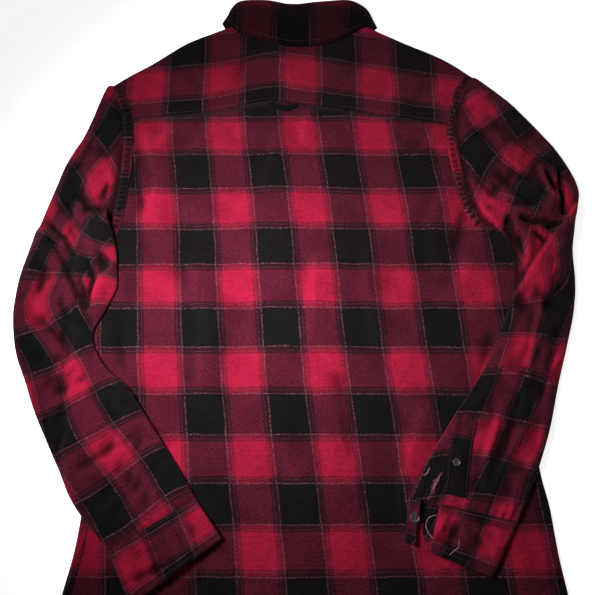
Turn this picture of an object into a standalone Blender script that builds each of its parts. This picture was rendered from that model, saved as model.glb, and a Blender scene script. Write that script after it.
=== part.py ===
"""A man's long-sleeved flannel shirt laid face down on a flat surface, its sleeves folded in.

The maker's lengths are in millimetres. X runs to the wearer's right, Y to the collar and Z up. X is 0 on
the centre line of the back, Z is 0 on the surface. MIDDLE is taken off at the end, so that the part's
origin is the middle of the laid shirt's outline, on the surface.
"""

import bisect
import math

import bpy

MM = 0.001
MIDDLE = (5.0, 4.5)  # the middle of the outline, from the centre back line
CLOTH = 1.2  # thickness of one layer of flannel
SEAM = 0.3  # gap between two pieces
LAYER = CLOTH + SEAM  # from one layer's middle to the next, when they lie on each other
FOLD = 1.8  # radius of the fold at a side, a shoulder or a sleeve's edge
HEM_SIDE, HEM_CENTRE = -352.0, -430.0
PIT = 80.0  # Y of both underarm points
SIDE_TURN = 10.0  # how far the left front laps on to the back, and the back on to the right front
YOKE_TURN = 28.0  # how far the yoke runs on below, past the shoulder fold
PLACKET_HALF = 17.5  # half the front placket's width
LEFT_RISE, RIGHT_RISE = 4.0, 5.5  # how far the placket and its buttons lift the two fronts
SHOULDER_IN = (0.464, -0.886)  # from the left shoulder's fold, square to it and down the body
LEFT_SLEEVE_LIFT = 2.6  # room for the placket and the button that lie under the left sleeve
SLEEVE_CELLS = 9
BUTTON, SMALL_BUTTON, BUTTON_DEPTH = 11.4, 9.0, 2.1

# Columns: Y, X of the left side fold, X of the right side fold.
SIDES = (
    (-440, -272, 302), (-352, -264, 297), (-300, -254, 290), (-250, -249, 286), (-204, -250, 279),
    (-100, -255, 280), (0, -260, 283), (60, -263, 284), (80, -264, 284),
)
# Columns: Y, X of the left armhole seam, X of the right one.
ARMHOLES = (
    (80, -264, 284), (86, -254, 264), (95, -246, 246), (110, -243, 232), (147, -240, 220), (180, -238, 215),
    (212, -238, 211), (247, -240, 213), (272, -247, 219), (300, -257, 229), (330, -268, 247),
)
# Columns: X, Y of the seam between back and yoke.
YOKE_SEAM = ((-243, 256), (-180, 261), (-118, 268), (-60, 280), (-30, 282), (0, 277), (78, 267), (213, 247))
# Columns: X, Y of the shoulder folds, with the back of the neck between them.
SHOULDERS = (
    (-262, 306), (-237, 324), (-210, 340), (-181, 362), (-156, 379), (-131, 390), (-88, 407), (-45, 401),
    (0, 398), (45, 401), (88, 407), (115, 394), (142, 380), (168, 368), (197, 354), (217, 341), (247, 317),
)
# Columns: X to either side, Y of the neck seam on the fronts.
FRONT_NECK = ((0, 321), (30, 327), (55, 341), (70, 360), (74.7, 381.7))
# Y of the body's rows of points at its sides, from the hem to the underarm and from there up.
BELOW_PIT = (-352, -300, -250, -200, -140, -80, -20, 40, 80)
ABOVE_PIT = (86, 95, 110, 147, 190, 222)
# X at the neck of a front's columns of points, from the middle to where the shoulder begins.
NECK_COLUMNS = (-17.5, 0, 22, 36, 50, 62, 70, 74.8)
# Columns: from X, Y to X, Y, height and half width of a fold that stands up in the back or the yoke.
BACK_FOLDS = (
    (-112, 250, -158, 190, 2.2, 9), (-150, 300, -205, 330, 2.0, 12), (150, 240, 200, 205, 2.6, 9),
    (120, 262, 150, 225, 1.8, 8), (-205, 150, -170, 40, 1.6, 12), (225, 60, 180, -20, 2.0, 12),
    (60, 300, 110, 335, 1.6, 12), (-60, -330, -20, -420, 1.8, 14), (60, -320, 90, -410, 1.8, 14),
)
# Columns: from X, Y to X, Y, height and half width of a fold in a sleeve's upper layer.
SLEEVE_FOLDS = (
    (-262, 240, -225, 150, 3.0, 10), (-330, 60, -262, 20, 3.2, 10), (-300, 130, -250, 60, 3.6, 11),
    (-345, -60, -250, -60, 3.4, 12), (-300, -150, -215, -160, 2.4, 12), (-250, -230, -190, -215, 2.0, 10),
    (250, 240, 300, 190, 3.0, 12), (262, 130, 330, 110, 4.2, 10), (275, 60, 345, 80, 4.4, 10),
    (268, 10, 330, 40, 3.4, 10), (320, -20, 268, -150, 3.2, 9),
)
# Columns: outer X, Y and inner X, Y of each section, from the armhole to the cuff.
LEFT_SLEEVE = (
    (-289, 240, -243, 91), (-313, 182, -239, 80), (-332, 118, -234, 63), (-344, 77, -231, 40),
    (-354, 36, -229, 12), (-358, -5, -240, -15), (-355, -40, -253, -42), (-347, -72, -251, -62),
    (-333, -103, -233, -90), (-318, -138, -208, -110), (-300, -172, -186, -140), (-280, -208, -165, -170),
    (-256, -246, -147, -195), (-235, -270, -131, -218), (-214, -292, -119, -238),
)
RIGHT_SLEEVE = (
    (290, 281, 252, 97), (325, 237, 262, 83), (350, 199, 268, 68), (368, 150, 271, 48), (358, 107, 270, 28),
    (350, 66, 266, 4), (348, 20, 255, -24), (340, -22, 241, -55), (327, -63, 225, -86), (313, -105, 208, -112),
    (299, -147, 189, -137), (284, -186, 169, -166), (266, -226, 146, -200), (247, -262, 126, -236),
)
LEFT_CUFF = ((-213.2, -293.4, -118.2, -239.4), (-199, -321, -103, -260), (-184, -350, -87, -281))
RIGHT_CUFF = ((246.2, -263.5, 125.2, -237.5), (230, -293, 121, -261), (213, -322, 119, -285))
CUFF_OPENING = (0.74, 0.89)  # the open stretch of the right cuff's upper layer, from outer fold to inner
# Columns: left X, Y and right X, Y of a sleeve placket's sections.
RIGHT_PLACKET = ((184, -142, 209, -146), (173, -188, 198, -193), (164, -233, 189, -239))
LEFT_PLACKET = ((-236, -150, -214, -136), (-210, -188, -188, -174), (-186, -226, -164, -212))
# Columns: X, Y of the collar stand's neck seam; X, Y of its roll; height of its middle.
STAND = (
    (14, 323, 14, 356, 4.6), (-20, 325, -20, 359, 4.6), (-46, 336, -52, 371, 2.3), (-66, 357, -78, 390, 2.1),
    (-71.4, 381, -86, 404, 2.1), (-82, 402.5, -94, 418, 2.1), (-86, 408.4, -97, 423, 4.9),
    (-83, 406.6, -90, 431, 7.8), (-45, 400.4, -46, 431, 8.8), (0, 397.4, 0, 430, 8.8), (45, 400.4, 46, 432, 8.8),
    (83, 406.6, 90, 432, 7.8), (86, 408.4, 97, 423, 4.9), (82, 402.5, 94, 418, 2.1), (71.4, 381, 86, 404, 2.1),
    (65, 356, 77, 390, 2.1), (46, 336, 52, 371, 2.7), (20, 325, 20, 359, 6.1), (-14, 323, -14, 356, 6.1),
)
# Columns: X, Y, Z of the collar leaf's roll; X, Y, Z of its free edge.
LEAF = (
    (-12, 358, 0.6, -62, 300, 0.6), (-56, 375, 0.6, -84, 318, 0.6), (-86, 396, 0.6, -102, 352, 0.6),
    (-94, 410, 0.6, -106, 388, 0.6), (-99, 418, 0.6, -108, 405, 0.6), (-102, 424, 5.0, -111, 411, 4.6),
    (-98, 430, 11.5, -102, 409, 10.4), (-84, 438, 15.5, -86, 389, 11.6), (-48, 438, 18.0, -50, 376, 13.0),
    (-13, 430, 19.0, -12, 365, 13.4), (28, 434, 19.0, 34, 369, 13.4), (68, 439, 17.0, 74, 390, 12.6),
    (92, 431, 12.5, 97, 409, 10.8), (102, 423, 5.0, 110, 410, 4.6), (99, 418, 0.6, 107, 404, 0.6),
    (94, 409, 0.6, 106, 386, 0.6), (86, 396, 0.6, 102, 352, 0.6), (56, 375, 0.6, 84, 318, 0.6),
    (12, 358, 0.6, 62, 300, 0.6),
)
FRONT_BUTTONS = (291, 198, 105, 12, -81, -174, -267)  # Y of each
STAND_BUTTON = (0, 340)
LOCKER_LOOP = (-45, -1, 8.5, 15)  # X of its two ends, width of the tape, how far its middle hangs
RIGHT_PLACKET_BUTTON, RIGHT_CUFF_BUTTON = (180, -199), (129, -259)
LEFT_CUFF_BUTTON = (-140, -282)

# Base colour and roughness.
RED_FLANNEL = ((0.36, 0.014, 0.055), 0.95)
MAROON_FLANNEL = ((0.13, 0.012, 0.032), 0.95)
BLACK_FLANNEL = ((0.014, 0.014, 0.017), 0.95)
PLASTIC = ((0.035, 0.035, 0.04), 0.35)


def ease(t):
    """0 to 1, level at both ends."""
    t = min(max(t, 0.0), 1.0)
    return t * t * (3 - 2 * t)


def mix(a, b, t):
    return a + (b - a) * t


def read(table, key, column=1):
    """A column's value at a key, on a smooth line through the table's rows."""
    keys = [row[0] for row in table]
    key = min(max(key, keys[0]), keys[-1])
    i = min(bisect.bisect_right(keys, key) - 1, len(table) - 2)
    step = keys[i + 1] - keys[i]
    t = (key - keys[i]) / step

    def slope(j):
        low, high = max(j - 1, 0), min(j + 1, len(table) - 1)
        return (table[high][column] - table[low][column]) / (keys[high] - keys[low]) * step

    leaving, arriving = slope(i) * t * (1 - t) ** 2, slope(i + 1) * t * t * (t - 1)
    return mix(table[i][column], table[i + 1][column], ease(t)) + leaving + arriving


def folds(table, x, y):
    """The height that a table's folds add at a point."""
    total = 0.0
    for x0, y0, x1, y1, height, width in table:
        run = math.hypot(x1 - x0, y1 - y0)
        along = ((x - x0) * (x1 - x0) + (y - y0) * (y1 - y0)) / run
        aside = ((x - x0) * (y1 - y0) - (y - y0) * (x1 - x0)) / run
        fade = ease((along + 10) / 25) * ease((run + 10 - along) / 25)
        total += height * fade * math.exp(-((aside / width) ** 2))
    return total


def hem(x):
    """The curved shirt tail."""
    return mix(HEM_CENTRE, HEM_SIDE, ease((abs(x - 15) - 90) / 155))


def under(x, y, rise=0.0):
    """The middle of the layer on the surface, which clears the buttons, the placket and the collar."""
    strip = rise * ease((64 - abs(x)) / 40)
    collar = LAYER * ease((155 - abs(x)) / 30) * ease((y - 228) / 28)
    return CLOTH / 2 + max(strip, collar)


def over(x, y):
    """The middle of the back and the yoke."""
    centre = 4.4 * ease((104 - abs(x)) / 78)
    neck = 2.4 * ease((190 - abs(x)) / 80) * ease((y - 330) / 50)
    return CLOTH / 2 + 2 * FOLD + max(centre, neck) + folds(BACK_FOLDS, x, y)


def armhole(side, y, out=0.0):
    """A point of an armhole seam, side -1 on the left and 1 on the right, moved away from the body."""
    column = 1 if side < 0 else 2
    low, high = max(y - 1, PIT), min(y + 1, ARMHOLES[-1][0])
    lean = side * (read(ARMHOLES, high, column) - read(ARMHOLES, low, column)) / (high - low)
    length = math.hypot(1, lean)
    return read(ARMHOLES, y, column) + side * out / length, y - out * lean / length


def side_fold(side, y):
    return read(SIDES, y, 1 if side < 0 else 2)


def body_edge(side, y, inset):
    """X of a panel's edge: the armhole above the underarm, and inset from the side fold below it."""
    if y > PIT + 0.5:
        return armhole(side, y)[0]
    return side_fold(side, y) - side * inset


def shoulder(x):
    return read(SHOULDERS, x)


def armhole_end(side, top):
    """Y at which a panel's upper edge meets the armhole."""
    y = 300.0
    for _ in range(8):
        y = top(armhole(side, y)[0])
    return y


def front_top(x):
    """Y of a front's upper edge: the yoke's turned edge, then the neck."""
    if abs(x) < FRONT_NECK[-1][0]:
        return read(FRONT_NECK, abs(x))
    reach = YOKE_TURN + 3 * SEAM
    outward = math.copysign(reach * SHOULDER_IN[0], x)
    return shoulder(x + outward) + reach * SHOULDER_IN[1]


def panel(columns, rows, left, right, bottom, top, height):
    """Points of a panel by row and column. A row is its share of the way up at the left and the right."""
    points = {}
    for column, across in enumerate(columns):

        def end(edge):
            y = edge(0.0)
            for _ in range(8):
                y = edge(mix(left(y), right(y), across))
            return y

        low, high = end(bottom), end(top)
        for row, (at_left, at_right) in enumerate(rows):
            y = mix(low, high, mix(at_left, at_right, across))
            x = mix(left(y), right(y), across)
            points[row, column] = (x, y, height(x, y))
    return points


def steps(start, end, count):
    return [mix(start, end, i / count) for i in range(count + 1)]


def material(name, colour, roughness):
    made = bpy.data.materials.new(name)
    made.use_nodes = True
    shader = made.node_tree.nodes["Principled BSDF"]
    shader.inputs["Base Color"].default_value = (*colour, 1)
    shader.inputs["Roughness"].default_value = roughness
    return made


def place(name, vertices, faces, finish):
    """A named object in metres, from points in millimetres off the centre back line."""
    mesh = bpy.data.meshes.new(name)
    mesh.from_pydata([((x - MIDDLE[0]) * MM, (y - MIDDLE[1]) * MM, z * MM) for x, y, z in vertices], [], faces)
    mesh.materials.append(material(name, *finish))
    piece = bpy.data.objects.new(name, mesh)
    bpy.context.scene.collection.objects.link(piece)
    return piece


def cloth(name, points, finish, ring=0, even=True):
    """A wall of cloth round its middle surface, whose columns close into a tube of ring columns."""
    order = {key: i for i, key in enumerate(points)}
    faces = []
    for row, column in points:
        beside = (column + 1) % ring if ring else column + 1
        corners = ((row, column), (row, beside), (row + 1, beside), (row + 1, column))
        if all(corner in order for corner in corners):
            faces.append([order[corner] for corner in corners])
    piece = place(name, list(points.values()), faces, finish)
    wall = piece.modifiers.new("wall", "SOLIDIFY")
    wall.thickness = CLOTH * MM
    wall.offset = 0
    wall.use_even_offset = even
    return piece


def side_rows(top, levels=BELOW_PIT + ABOVE_PIT):
    """Each row's share of the way from the side hem to the panel's top at that side."""
    return [(y - HEM_SIDE) / (top - HEM_SIDE) for y in levels] + [1.0]


def make_back():
    """The back laps round the right side fold on to the underside."""
    columns = steps(0, 1, 20)

    def left(y):
        return body_edge(-1, y, mix(FOLD + 3, SIDE_TURN, ease((PIT - y) / 50)))

    def right(y):
        return body_edge(1, y, FOLD)

    def top(x):
        return read(YOKE_SEAM, x)

    rows = list(zip(side_rows(YOKE_SEAM[0][1]), side_rows(YOKE_SEAM[-1][1])))
    points = panel(columns, rows, left, right, hem, top, over)
    for row in range(len(BELOW_PIT)):
        x, y, z = points[row, 20]
        points[row, 21] = (x + FOLD, y, (z + CLOTH / 2) / 2)
        points[row, 22] = (x, y, CLOTH / 2)
        points[row, 23] = (x + FOLD - SIDE_TURN, y, CLOTH / 2)
    return cloth("back", points, RED_FLANNEL)


def make_front(name, side, rise):
    """A front, from its edge under the placket to its side seam. The left one laps up on to the back."""
    inset = FOLD if side < 0 else SIDE_TURN + 2 * SEAM
    width = abs(armhole(side, ARMHOLES[-1][0])[0]) + PLACKET_HALF
    columns = [(reach + PLACKET_HALF) / width for reach in NECK_COLUMNS]
    columns += steps(columns[-1], 1, 8)[1:]
    levels = BELOW_PIT + ABOVE_PIT + (250,)
    rows = [(share, share) for share in side_rows(armhole_end(side, front_top), levels)]

    def centre(y):
        return -side * PLACKET_HALF

    def edge(y):
        return body_edge(side, y, inset)

    points = panel(columns, rows, centre, edge, hem, front_top, lambda x, y: under(x, y, rise))
    if side < 0:
        last = len(columns) - 1
        for row in range(len(BELOW_PIT)):
            x, y, z = points[row, last]
            lap = mix(FOLD + 3, SIDE_TURN, ease((PIT - y) / 50)) - SEAM
            points[row, last + 1] = (x - FOLD, y, (over(x, y) + z) / 2)
            points[row, last + 2] = (x, y, over(x, y))
            points[row, last + 3] = (x - FOLD + lap, y, over(x - FOLD + lap, y))
    return cloth(name, points, MAROON_FLANNEL)


def make_yoke():
    """The yoke, which turns over both shoulder folds and joins the fronts below."""
    left_neck, right_neck = 0.3495, 0.6913
    columns = steps(0, left_neck, 7)[:-1] + steps(left_neck, right_neck, 7)[:-1] + steps(right_neck, 1, 7)
    rows = [(share, share) for share in steps(0, 1, 4)]

    def bottom(x):
        return read(YOKE_SEAM, x) + SEAM

    def top(x):
        return shoulder(x) + FOLD / SHOULDER_IN[1]

    points = panel(
        columns, rows, lambda y: armhole(-1, y)[0], lambda y: armhole(1, y)[0], bottom, top, over
    )
    for column in list(range(8)) + list(range(14, 22)):
        inward = SHOULDER_IN[0] if column < 8 else -SHOULDER_IN[0]
        x, y, z = points[4, column]
        points[5, column] = (x - FOLD * inward, y - FOLD * SHOULDER_IN[1], (z + under(x, y)) / 2)
        for row, reach in ((6, 0), (7, (YOKE_TURN - FOLD) / 2), (8, YOKE_TURN - FOLD)):
            below_x, below_y = x + reach * inward, y + reach * SHOULDER_IN[1]
            points[row, column] = (below_x, below_y, under(below_x, below_y))
    return cloth("yoke", points, RED_FLANNEL)


def sleeve_base(side, x, y):
    """The middle of a sleeve's lower layer: on the surface, or on the body's side where it crosses it."""
    edge = side_fold(side, min(y, PIT))
    inside = ease((34 - side * (x - edge)) / 22) * ease((124 - y) / 22)
    lift = LEFT_SLEEVE_LIFT * ease((-50 - y) / 60) if side < 0 else 0.0
    return mix(CLOTH / 2, over(x, y) + LAYER + 0.4 + lift, inside)


def sleeve_top(side, x, y):
    return sleeve_base(side, x, y) + 2 * FOLD + folds(SLEEVE_FOLDS, x, y)


def ring_points(side, section, cells=SLEEVE_CELLS):
    """A flattened ring of cloth: below from its outer fold to its inner one, and back above."""
    outer_x, outer_y, inner_x, inner_y = section
    inset = FOLD / math.hypot(outer_x - inner_x, outer_y - inner_y)

    def at(share, height):
        x, y = mix(outer_x, inner_x, share), mix(outer_y, inner_y, share)
        return x, y, height(side, x, y)

    def edge(share):
        x, y, low = at(share, sleeve_base)
        return x, y, low + FOLD

    shares = steps(inset, 1 - inset, cells)
    below = [at(share, sleeve_base) for share in shares]
    above = [at(share, sleeve_top) for share in reversed(shares)]
    return below + [edge(1)] + above + [edge(0)]


def armhole_rings(side):
    """The sleeve's seam ring, which meets the body's edges, and a ring just outside it that has risen."""
    end_y = armhole_end(side, shoulder)
    seam_y = YOKE_SEAM[0][1] if side < 0 else YOKE_SEAM[-1][1]
    levels = (PIT,) + ABOVE_PIT + (seam_y, mix(seam_y, end_y, 0.5), end_y)
    rings = []
    for out in (3 * SEAM, 9.0):
        risen = out > 1
        plan = [armhole(side, y, out) for y in reversed(levels)]
        below = [(x, y, sleeve_base(side, x, y) if risen else CLOTH / 2) for x, y in plan]
        above = [(x, y, sleeve_top(side, x, y) if risen else over(x, y)) for x, y in reversed(plan)]
        pit_x, pit_y = armhole(side, PIT, out)
        top_x, top_y = armhole(side, end_y + FOLD, out)
        pit_z, top_z = (below[-1][2] + above[0][2]) / 2, (below[0][2] + above[-1][2]) / 2
        rings.append(below + [(pit_x + side, pit_y, pit_z)] + above + [(top_x, top_y, top_z)])
    return rings


def make_tube(name, rings, finish, even=True):
    points = {(row, column): point for row, ring in enumerate(rings) for column, point in enumerate(ring)}
    return cloth(name, points, finish, ring=len(rings[0]), even=even)


def make_sleeve(name, side, sections, finish):
    rings = armhole_rings(side) + [ring_points(side, section) for section in sections]
    return make_tube(name, rings, finish, even=False)


def make_open_cuff(name, side, sections, finish):
    """A cuff that isn't buttoned: its upper layer stops on either side of the opening."""
    first, last = CUFF_OPENING
    points = {}
    for row, (outer_x, outer_y, inner_x, inner_y) in enumerate(sections):
        inset = FOLD / math.hypot(outer_x - inner_x, outer_y - inner_y)
        route = [(share, 1) for share in steps(first, inset, 6)] + [(0, 0.5)]
        route += [(share, 0) for share in steps(inset, 1 - inset, SLEEVE_CELLS)] + [(1, 0.5)]
        route += [(share, 1) for share in steps(1 - inset, last, 2)]
        for column, (share, up) in enumerate(route):
            x, y = mix(outer_x, inner_x, share), mix(outer_y, inner_y, share)
            points[row, column] = (x, y, mix(sleeve_base(side, x, y), sleeve_top(side, x, y), up))
    return cloth(name, points, finish)


def make_strip(name, sections, height, finish, rows=6, columns=2):
    """A strip of cloth between two edges, given by sections, at a height that follows what it lies on."""
    points = {}
    last = len(sections) - 1
    keyed = [(i, *section) for i, section in enumerate(sections)]
    for row in range(rows + 1):
        at = last * row / rows
        left_x, left_y, right_x, right_y = (read(keyed, at, column) for column in (1, 2, 3, 4))
        for column in range(columns + 1):
            x, y = mix(left_x, right_x, column / columns), mix(left_y, right_y, column / columns)
            points[row, column] = (x, y, height(x, y))
    return cloth(name, points, finish)


def make_locker_loop():
    """A tape whose two ends are caught in the yoke seam, and whose middle hangs down the back."""
    left_x, right_x, width, hang = LOCKER_LOOP

    def centre(share):
        x = mix(left_x + width / 2, right_x - width / 2, share)
        drop = (hang - width / 2) * math.sin(math.pi * share) ** 0.8
        return x, read(YOKE_SEAM, x) - 1.5 - drop

    points = {}
    for row, share in enumerate(steps(0, 1, 12)):
        from_x, from_y = centre(max(share - 0.03, 0))
        to_x, to_y = centre(min(share + 0.03, 1))
        run = math.hypot(to_x - from_x, to_y - from_y)
        at_x, at_y = centre(share)
        for column, aside in enumerate((width / 2, -width / 2)):
            x, y = at_x - aside * (to_y - from_y) / run, at_y + aside * (to_x - from_x) / run
            points[row, column] = (x, y, over(x, y) + LAYER + 0.5)
    return cloth("locker_loop", points, BLACK_FLANNEL)


def make_collar_stand():
    points = {}
    for row, (neck_x, neck_y, roll_x, roll_y, z) in enumerate(STAND):
        if abs(neck_x) < 70 and z < 7:
            neck_y = read(FRONT_NECK, abs(neck_x)) + 4 * SEAM
        for column in range(3):
            points[row, column] = (mix(neck_x, roll_x, column / 2), mix(neck_y, roll_y, column / 2), z)
    return cloth("collar_stand", points, BLACK_FLANNEL, even=False)


def make_collar_leaf():
    """The leaf hangs from its roll over the back, and its two points lie below the fronts."""
    points = {}
    for row, (roll_x, roll_y, roll_z, edge_x, edge_y, edge_z) in enumerate(LEAF):
        for column in range(5):
            share = column / 4
            puff = (roll_z - edge_z) * 0.5 * math.sin(math.pi * share)
            points[row, column] = (
                mix(roll_x, edge_x, share), mix(roll_y, edge_y, share), mix(roll_z, edge_z, share) + puff
            )
    return cloth("collar_leaf", points, MAROON_FLANNEL, even=False)


def make_button(name, x, y, z, width):
    """A turned button: a flat back, a round rim and a dished face. Z is its lowest point."""
    segments = 16
    radius = width / 2
    profile = ((0.82, 0.0), (1.0, 0.35), (0.97, 0.85), (0.84, 1.0), (0.62, 0.72))
    vertices = []
    for reach, up in profile:
        for i in range(segments):
            angle = 2 * math.pi * i / segments
            across, along = radius * reach * math.cos(angle), radius * reach * math.sin(angle)
            vertices.append((x + across, y + along, z + BUTTON_DEPTH * up))
    faces = [list(reversed(range(segments)))]
    for level in range(len(profile) - 1):
        for i in range(segments):
            low, high = level * segments, (level + 1) * segments
            beside = (i + 1) % segments
            faces.append([low + i, low + beside, high + beside, high + i])
    faces.append([(len(profile) - 1) * segments + i for i in range(segments)])
    piece = place(name, vertices, faces, PLASTIC)
    piece.data.shade_smooth()
    piece.data.set_sharp_from_angle(angle=math.radians(50))
    return piece


def flipped(piece):
    """Turns a button over in its own place, so that its face is below."""
    heights = [vertex.co.z for vertex in piece.data.vertices]
    for vertex in piece.data.vertices:
        vertex.co.z = min(heights) + max(heights) - vertex.co.z
    piece.data.flip_normals()


def make_front_placket():
    low, high = HEM_CENTRE + 2, read(FRONT_NECK, 0) - 1
    half = PLACKET_HALF
    sections = [(-half, y, half, y) for y in steps(low, high, 4)]
    return make_strip(
        "front_placket", sections, lambda x, y: CLOTH / 2 + LEFT_RISE - LAYER, MAROON_FLANNEL, rows=12
    )


def make_plackets_and_buttons():
    make_front_placket()
    for number, y in enumerate(FRONT_BUTTONS, 1):
        flipped(make_button(f"front_button_{number}", 0, y, 0.05, BUTTON))
    flipped(make_button("stand_button", *STAND_BUTTON, 0.05, BUTTON))

    def on_right(x, y):
        return sleeve_top(1, x, y) + LAYER + 0.4

    def below_left(x, y):
        return sleeve_base(-1, x, y) - LAYER - 0.3

    make_strip("sleeve_placket_right", RIGHT_PLACKET, on_right, BLACK_FLANNEL)
    make_strip("sleeve_placket_left", LEFT_PLACKET, below_left, BLACK_FLANNEL)
    x, y = RIGHT_PLACKET_BUTTON
    make_button("placket_button_right", x, y, on_right(x, y) + CLOTH / 2 + 0.5, SMALL_BUTTON)
    x, y = RIGHT_CUFF_BUTTON
    make_button("cuff_button_right", x, y, sleeve_top(1, x, y) + CLOTH / 2 + 0.5, BUTTON)
    x, y = LEFT_CUFF_BUTTON
    flipped(make_button("cuff_button_left", x, y, over(x, y) + CLOTH / 2 + 0.6, BUTTON))


def main():
    for thing in list(bpy.data.objects):
        bpy.data.objects.remove(thing, do_unlink=True)
    make_back()
    make_yoke()
    make_front("front_left", -1, LEFT_RISE)
    make_front("front_right", 1, RIGHT_RISE)
    make_collar_stand()
    make_collar_leaf()
    make_sleeve("sleeve_left", -1, LEFT_SLEEVE, RED_FLANNEL)
    make_sleeve("sleeve_right", 1, RIGHT_SLEEVE, RED_FLANNEL)
    make_tube("cuff_left", [ring_points(-1, section) for section in LEFT_CUFF], MAROON_FLANNEL)
    make_open_cuff("cuff_right", 1, RIGHT_CUFF, MAROON_FLANNEL)
    make_plackets_and_buttons()
    make_locker_loop()


main()
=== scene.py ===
"""A man's flannel shirt in a two-colour check, laid face down with its sleeves folded in.

The maker's lengths are in millimetres off the centre back line, as in the part: X runs to the wearer's
right, Y to the collar and Z up from the surface. Each length is turned into metres as its piece is made.
"""

import math

import bpy
import numpy as np
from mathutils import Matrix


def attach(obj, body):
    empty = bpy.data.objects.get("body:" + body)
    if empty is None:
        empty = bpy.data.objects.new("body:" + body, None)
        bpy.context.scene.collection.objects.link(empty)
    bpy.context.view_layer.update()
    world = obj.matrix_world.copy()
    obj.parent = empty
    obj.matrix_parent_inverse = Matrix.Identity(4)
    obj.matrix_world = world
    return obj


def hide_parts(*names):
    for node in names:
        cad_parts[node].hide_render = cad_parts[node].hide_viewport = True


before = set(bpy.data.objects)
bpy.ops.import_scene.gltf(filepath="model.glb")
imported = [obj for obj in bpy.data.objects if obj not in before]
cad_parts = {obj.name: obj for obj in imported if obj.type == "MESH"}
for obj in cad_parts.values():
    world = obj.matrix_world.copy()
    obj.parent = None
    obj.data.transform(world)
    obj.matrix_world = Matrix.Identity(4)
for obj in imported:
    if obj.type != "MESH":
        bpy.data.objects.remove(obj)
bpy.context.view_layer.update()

# ---------------------------------------------------------------------------------------------------------
# The back. One panel of brushed cotton flannel from the yoke seam to the curved tail, cut on the straight
# grain. Its right edge is turned round the side on to the underside, where it is felled to the front.

MM = 0.001
MIDDLE = (5.0, 4.5)  # the middle of the outline, from the centre back line
CLOTH, SEAM, FOLD = 1.2, 0.3, 1.8  # a layer of flannel, the gap at a seam, the radius of a folded edge
LAYER = CLOTH + SEAM
FLANNEL = 0.9  # the shown shell's thickness
HEM_SIDE, HEM_CENTRE = -352.0, -430.0
PIT = 80.0  # Y of both underarm points
SIDE_TURN = 10.0  # width of the felled side seam
GRAIN = 3.2  # spacing of the threads of points in the cloth that shows

# Columns: Y, X of the left side fold, X of the right side fold.
SIDES = (
    (-440, -272, 302), (-352, -264, 297), (-300, -254, 290), (-250, -249, 286), (-204, -250, 279),
    (-100, -255, 280), (0, -260, 283), (60, -263, 284), (80, -264, 284),
)
# Columns: Y, X of the left armhole seam, X of the right one.
ARMHOLES = (
    (80, -264, 284), (86, -254, 264), (95, -246, 246), (110, -243, 232), (147, -240, 220), (180, -238, 215),
    (212, -238, 211), (247, -240, 213), (272, -247, 219), (300, -257, 229), (330, -268, 247),
)
# Columns: X, Y of the seam between back and yoke.
YOKE_SEAM = ((-243, 256), (-180, 261), (-118, 268), (-60, 280), (-30, 282), (0, 277), (78, 267), (213, 247))
# Columns: height, half width on the left and on the right of its run, then the X and Y of its run.
BACK_FOLDS = (
    (2.2, 9, 9, -112, 250, -158, 190), (2.0, 12, 12, -150, 300, -205, 330), (2.6, 9, 9, 150, 240, 200, 205),
    (1.8, 8, 8, 120, 262, 150, 225), (1.6, 12, 12, -205, 150, -170, 40), (2.0, 12, 12, 225, 60, 180, -20),
    (1.6, 12, 12, 60, 300, 110, 335), (1.8, 14, 14, -60, -330, -20, -420),
    (1.8, 14, 14, 60, -320, 90, -410),
)
BACK_CREASES = (
    (1.7, 10, 6, -214, 236, -190, 170, -196, 110), (-1.2, 7, 7, -226, 190, -206, 120),
    (1.3, 12, 9, -140, 60, -116, -40, -120, -120), (1.5, 9, 14, 96, 96, 84, 20, 98, -60),
    (1.2, 8, 8, -30, 240, -44, 150), (1.4, 16, 10, 20, 60, 12, -60), (-1.0, 10, 10, 44, -90, 60, -200),
    (1.5, 12, 9, 196, 176, 170, 100, 176, 30), (-1.2, 7, 7, 214, 120, 196, 60),
    (1.6, 12, 12, 150, -130, 120, -220, 132, -300), (1.4, 12, 12, -150, -180, -100, -260),
    (-1.2, 9, 9, 236, -40, 214, -110), (1.6, 10, 14, 232, -80, 206, -190),
    (-1.0, 8, 8, -236, -10, -214, -90), (1.5, 10, 10, -230, 40, -238, -60), (1.1, 8, 8, 10, 262, 4, 214),
    (1.0, 6, 6, -70, 268, -84, 226), (0.9, 6, 6, 62, 262, 70, 224), (1.2, 9, 9, 186, 238, 150, 178),
    (1.0, 7, 7, -168, 250, -196, 214), (1.3, 14, 14, -40, -140, 10, -250),
    (1.2, 12, 12, 226, -230, 250, -330), (1.2, 10, 10, -90, -300, -130, -400),
)
# The check: one repeat of the cloth is 100 wide and 105 long. Columns: Y, how far the stripes have leaned.
STRIPE_LEAN = ((-430, 68), (-294, 54), (-195, 43), (-91, 31), (16, 22), (122, 13), (229, 0), (290, -6))
# Columns: Y, the number of repeats from the red band below the yoke.
BACK_BANDS = (
    (-440, -6.42), (-397, -6), (-294, -5), (-195, -4), (-91, -3), (16, -2), (122, -1), (229, 0), (290, 0.6),
)

# Linear base colours of the yarns where they cross themselves and each other.
RED, MAROON, BLACK = (0.285, 0.0066, 0.030), (0.056, 0.0056, 0.0140), (0.0030, 0.0034, 0.0040)
PALE = (0.26, 0.10, 0.13)
# Columns: share of a repeat away from the middle of a red stripe, how red the yarn is there.
STRIPES = (
    (0.0, 1.0), (0.190, 1.0), (0.196, 0.42), (0.204, 0.42), (0.210, 0.62), (0.224, 0.56), (0.232, 0.22),
    (0.240, 0.50), (0.252, 0.46), (0.260, 0.12), (0.268, 0.30), (0.280, 0.22), (0.288, 0.0), (0.5, 0.0),
)
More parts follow.
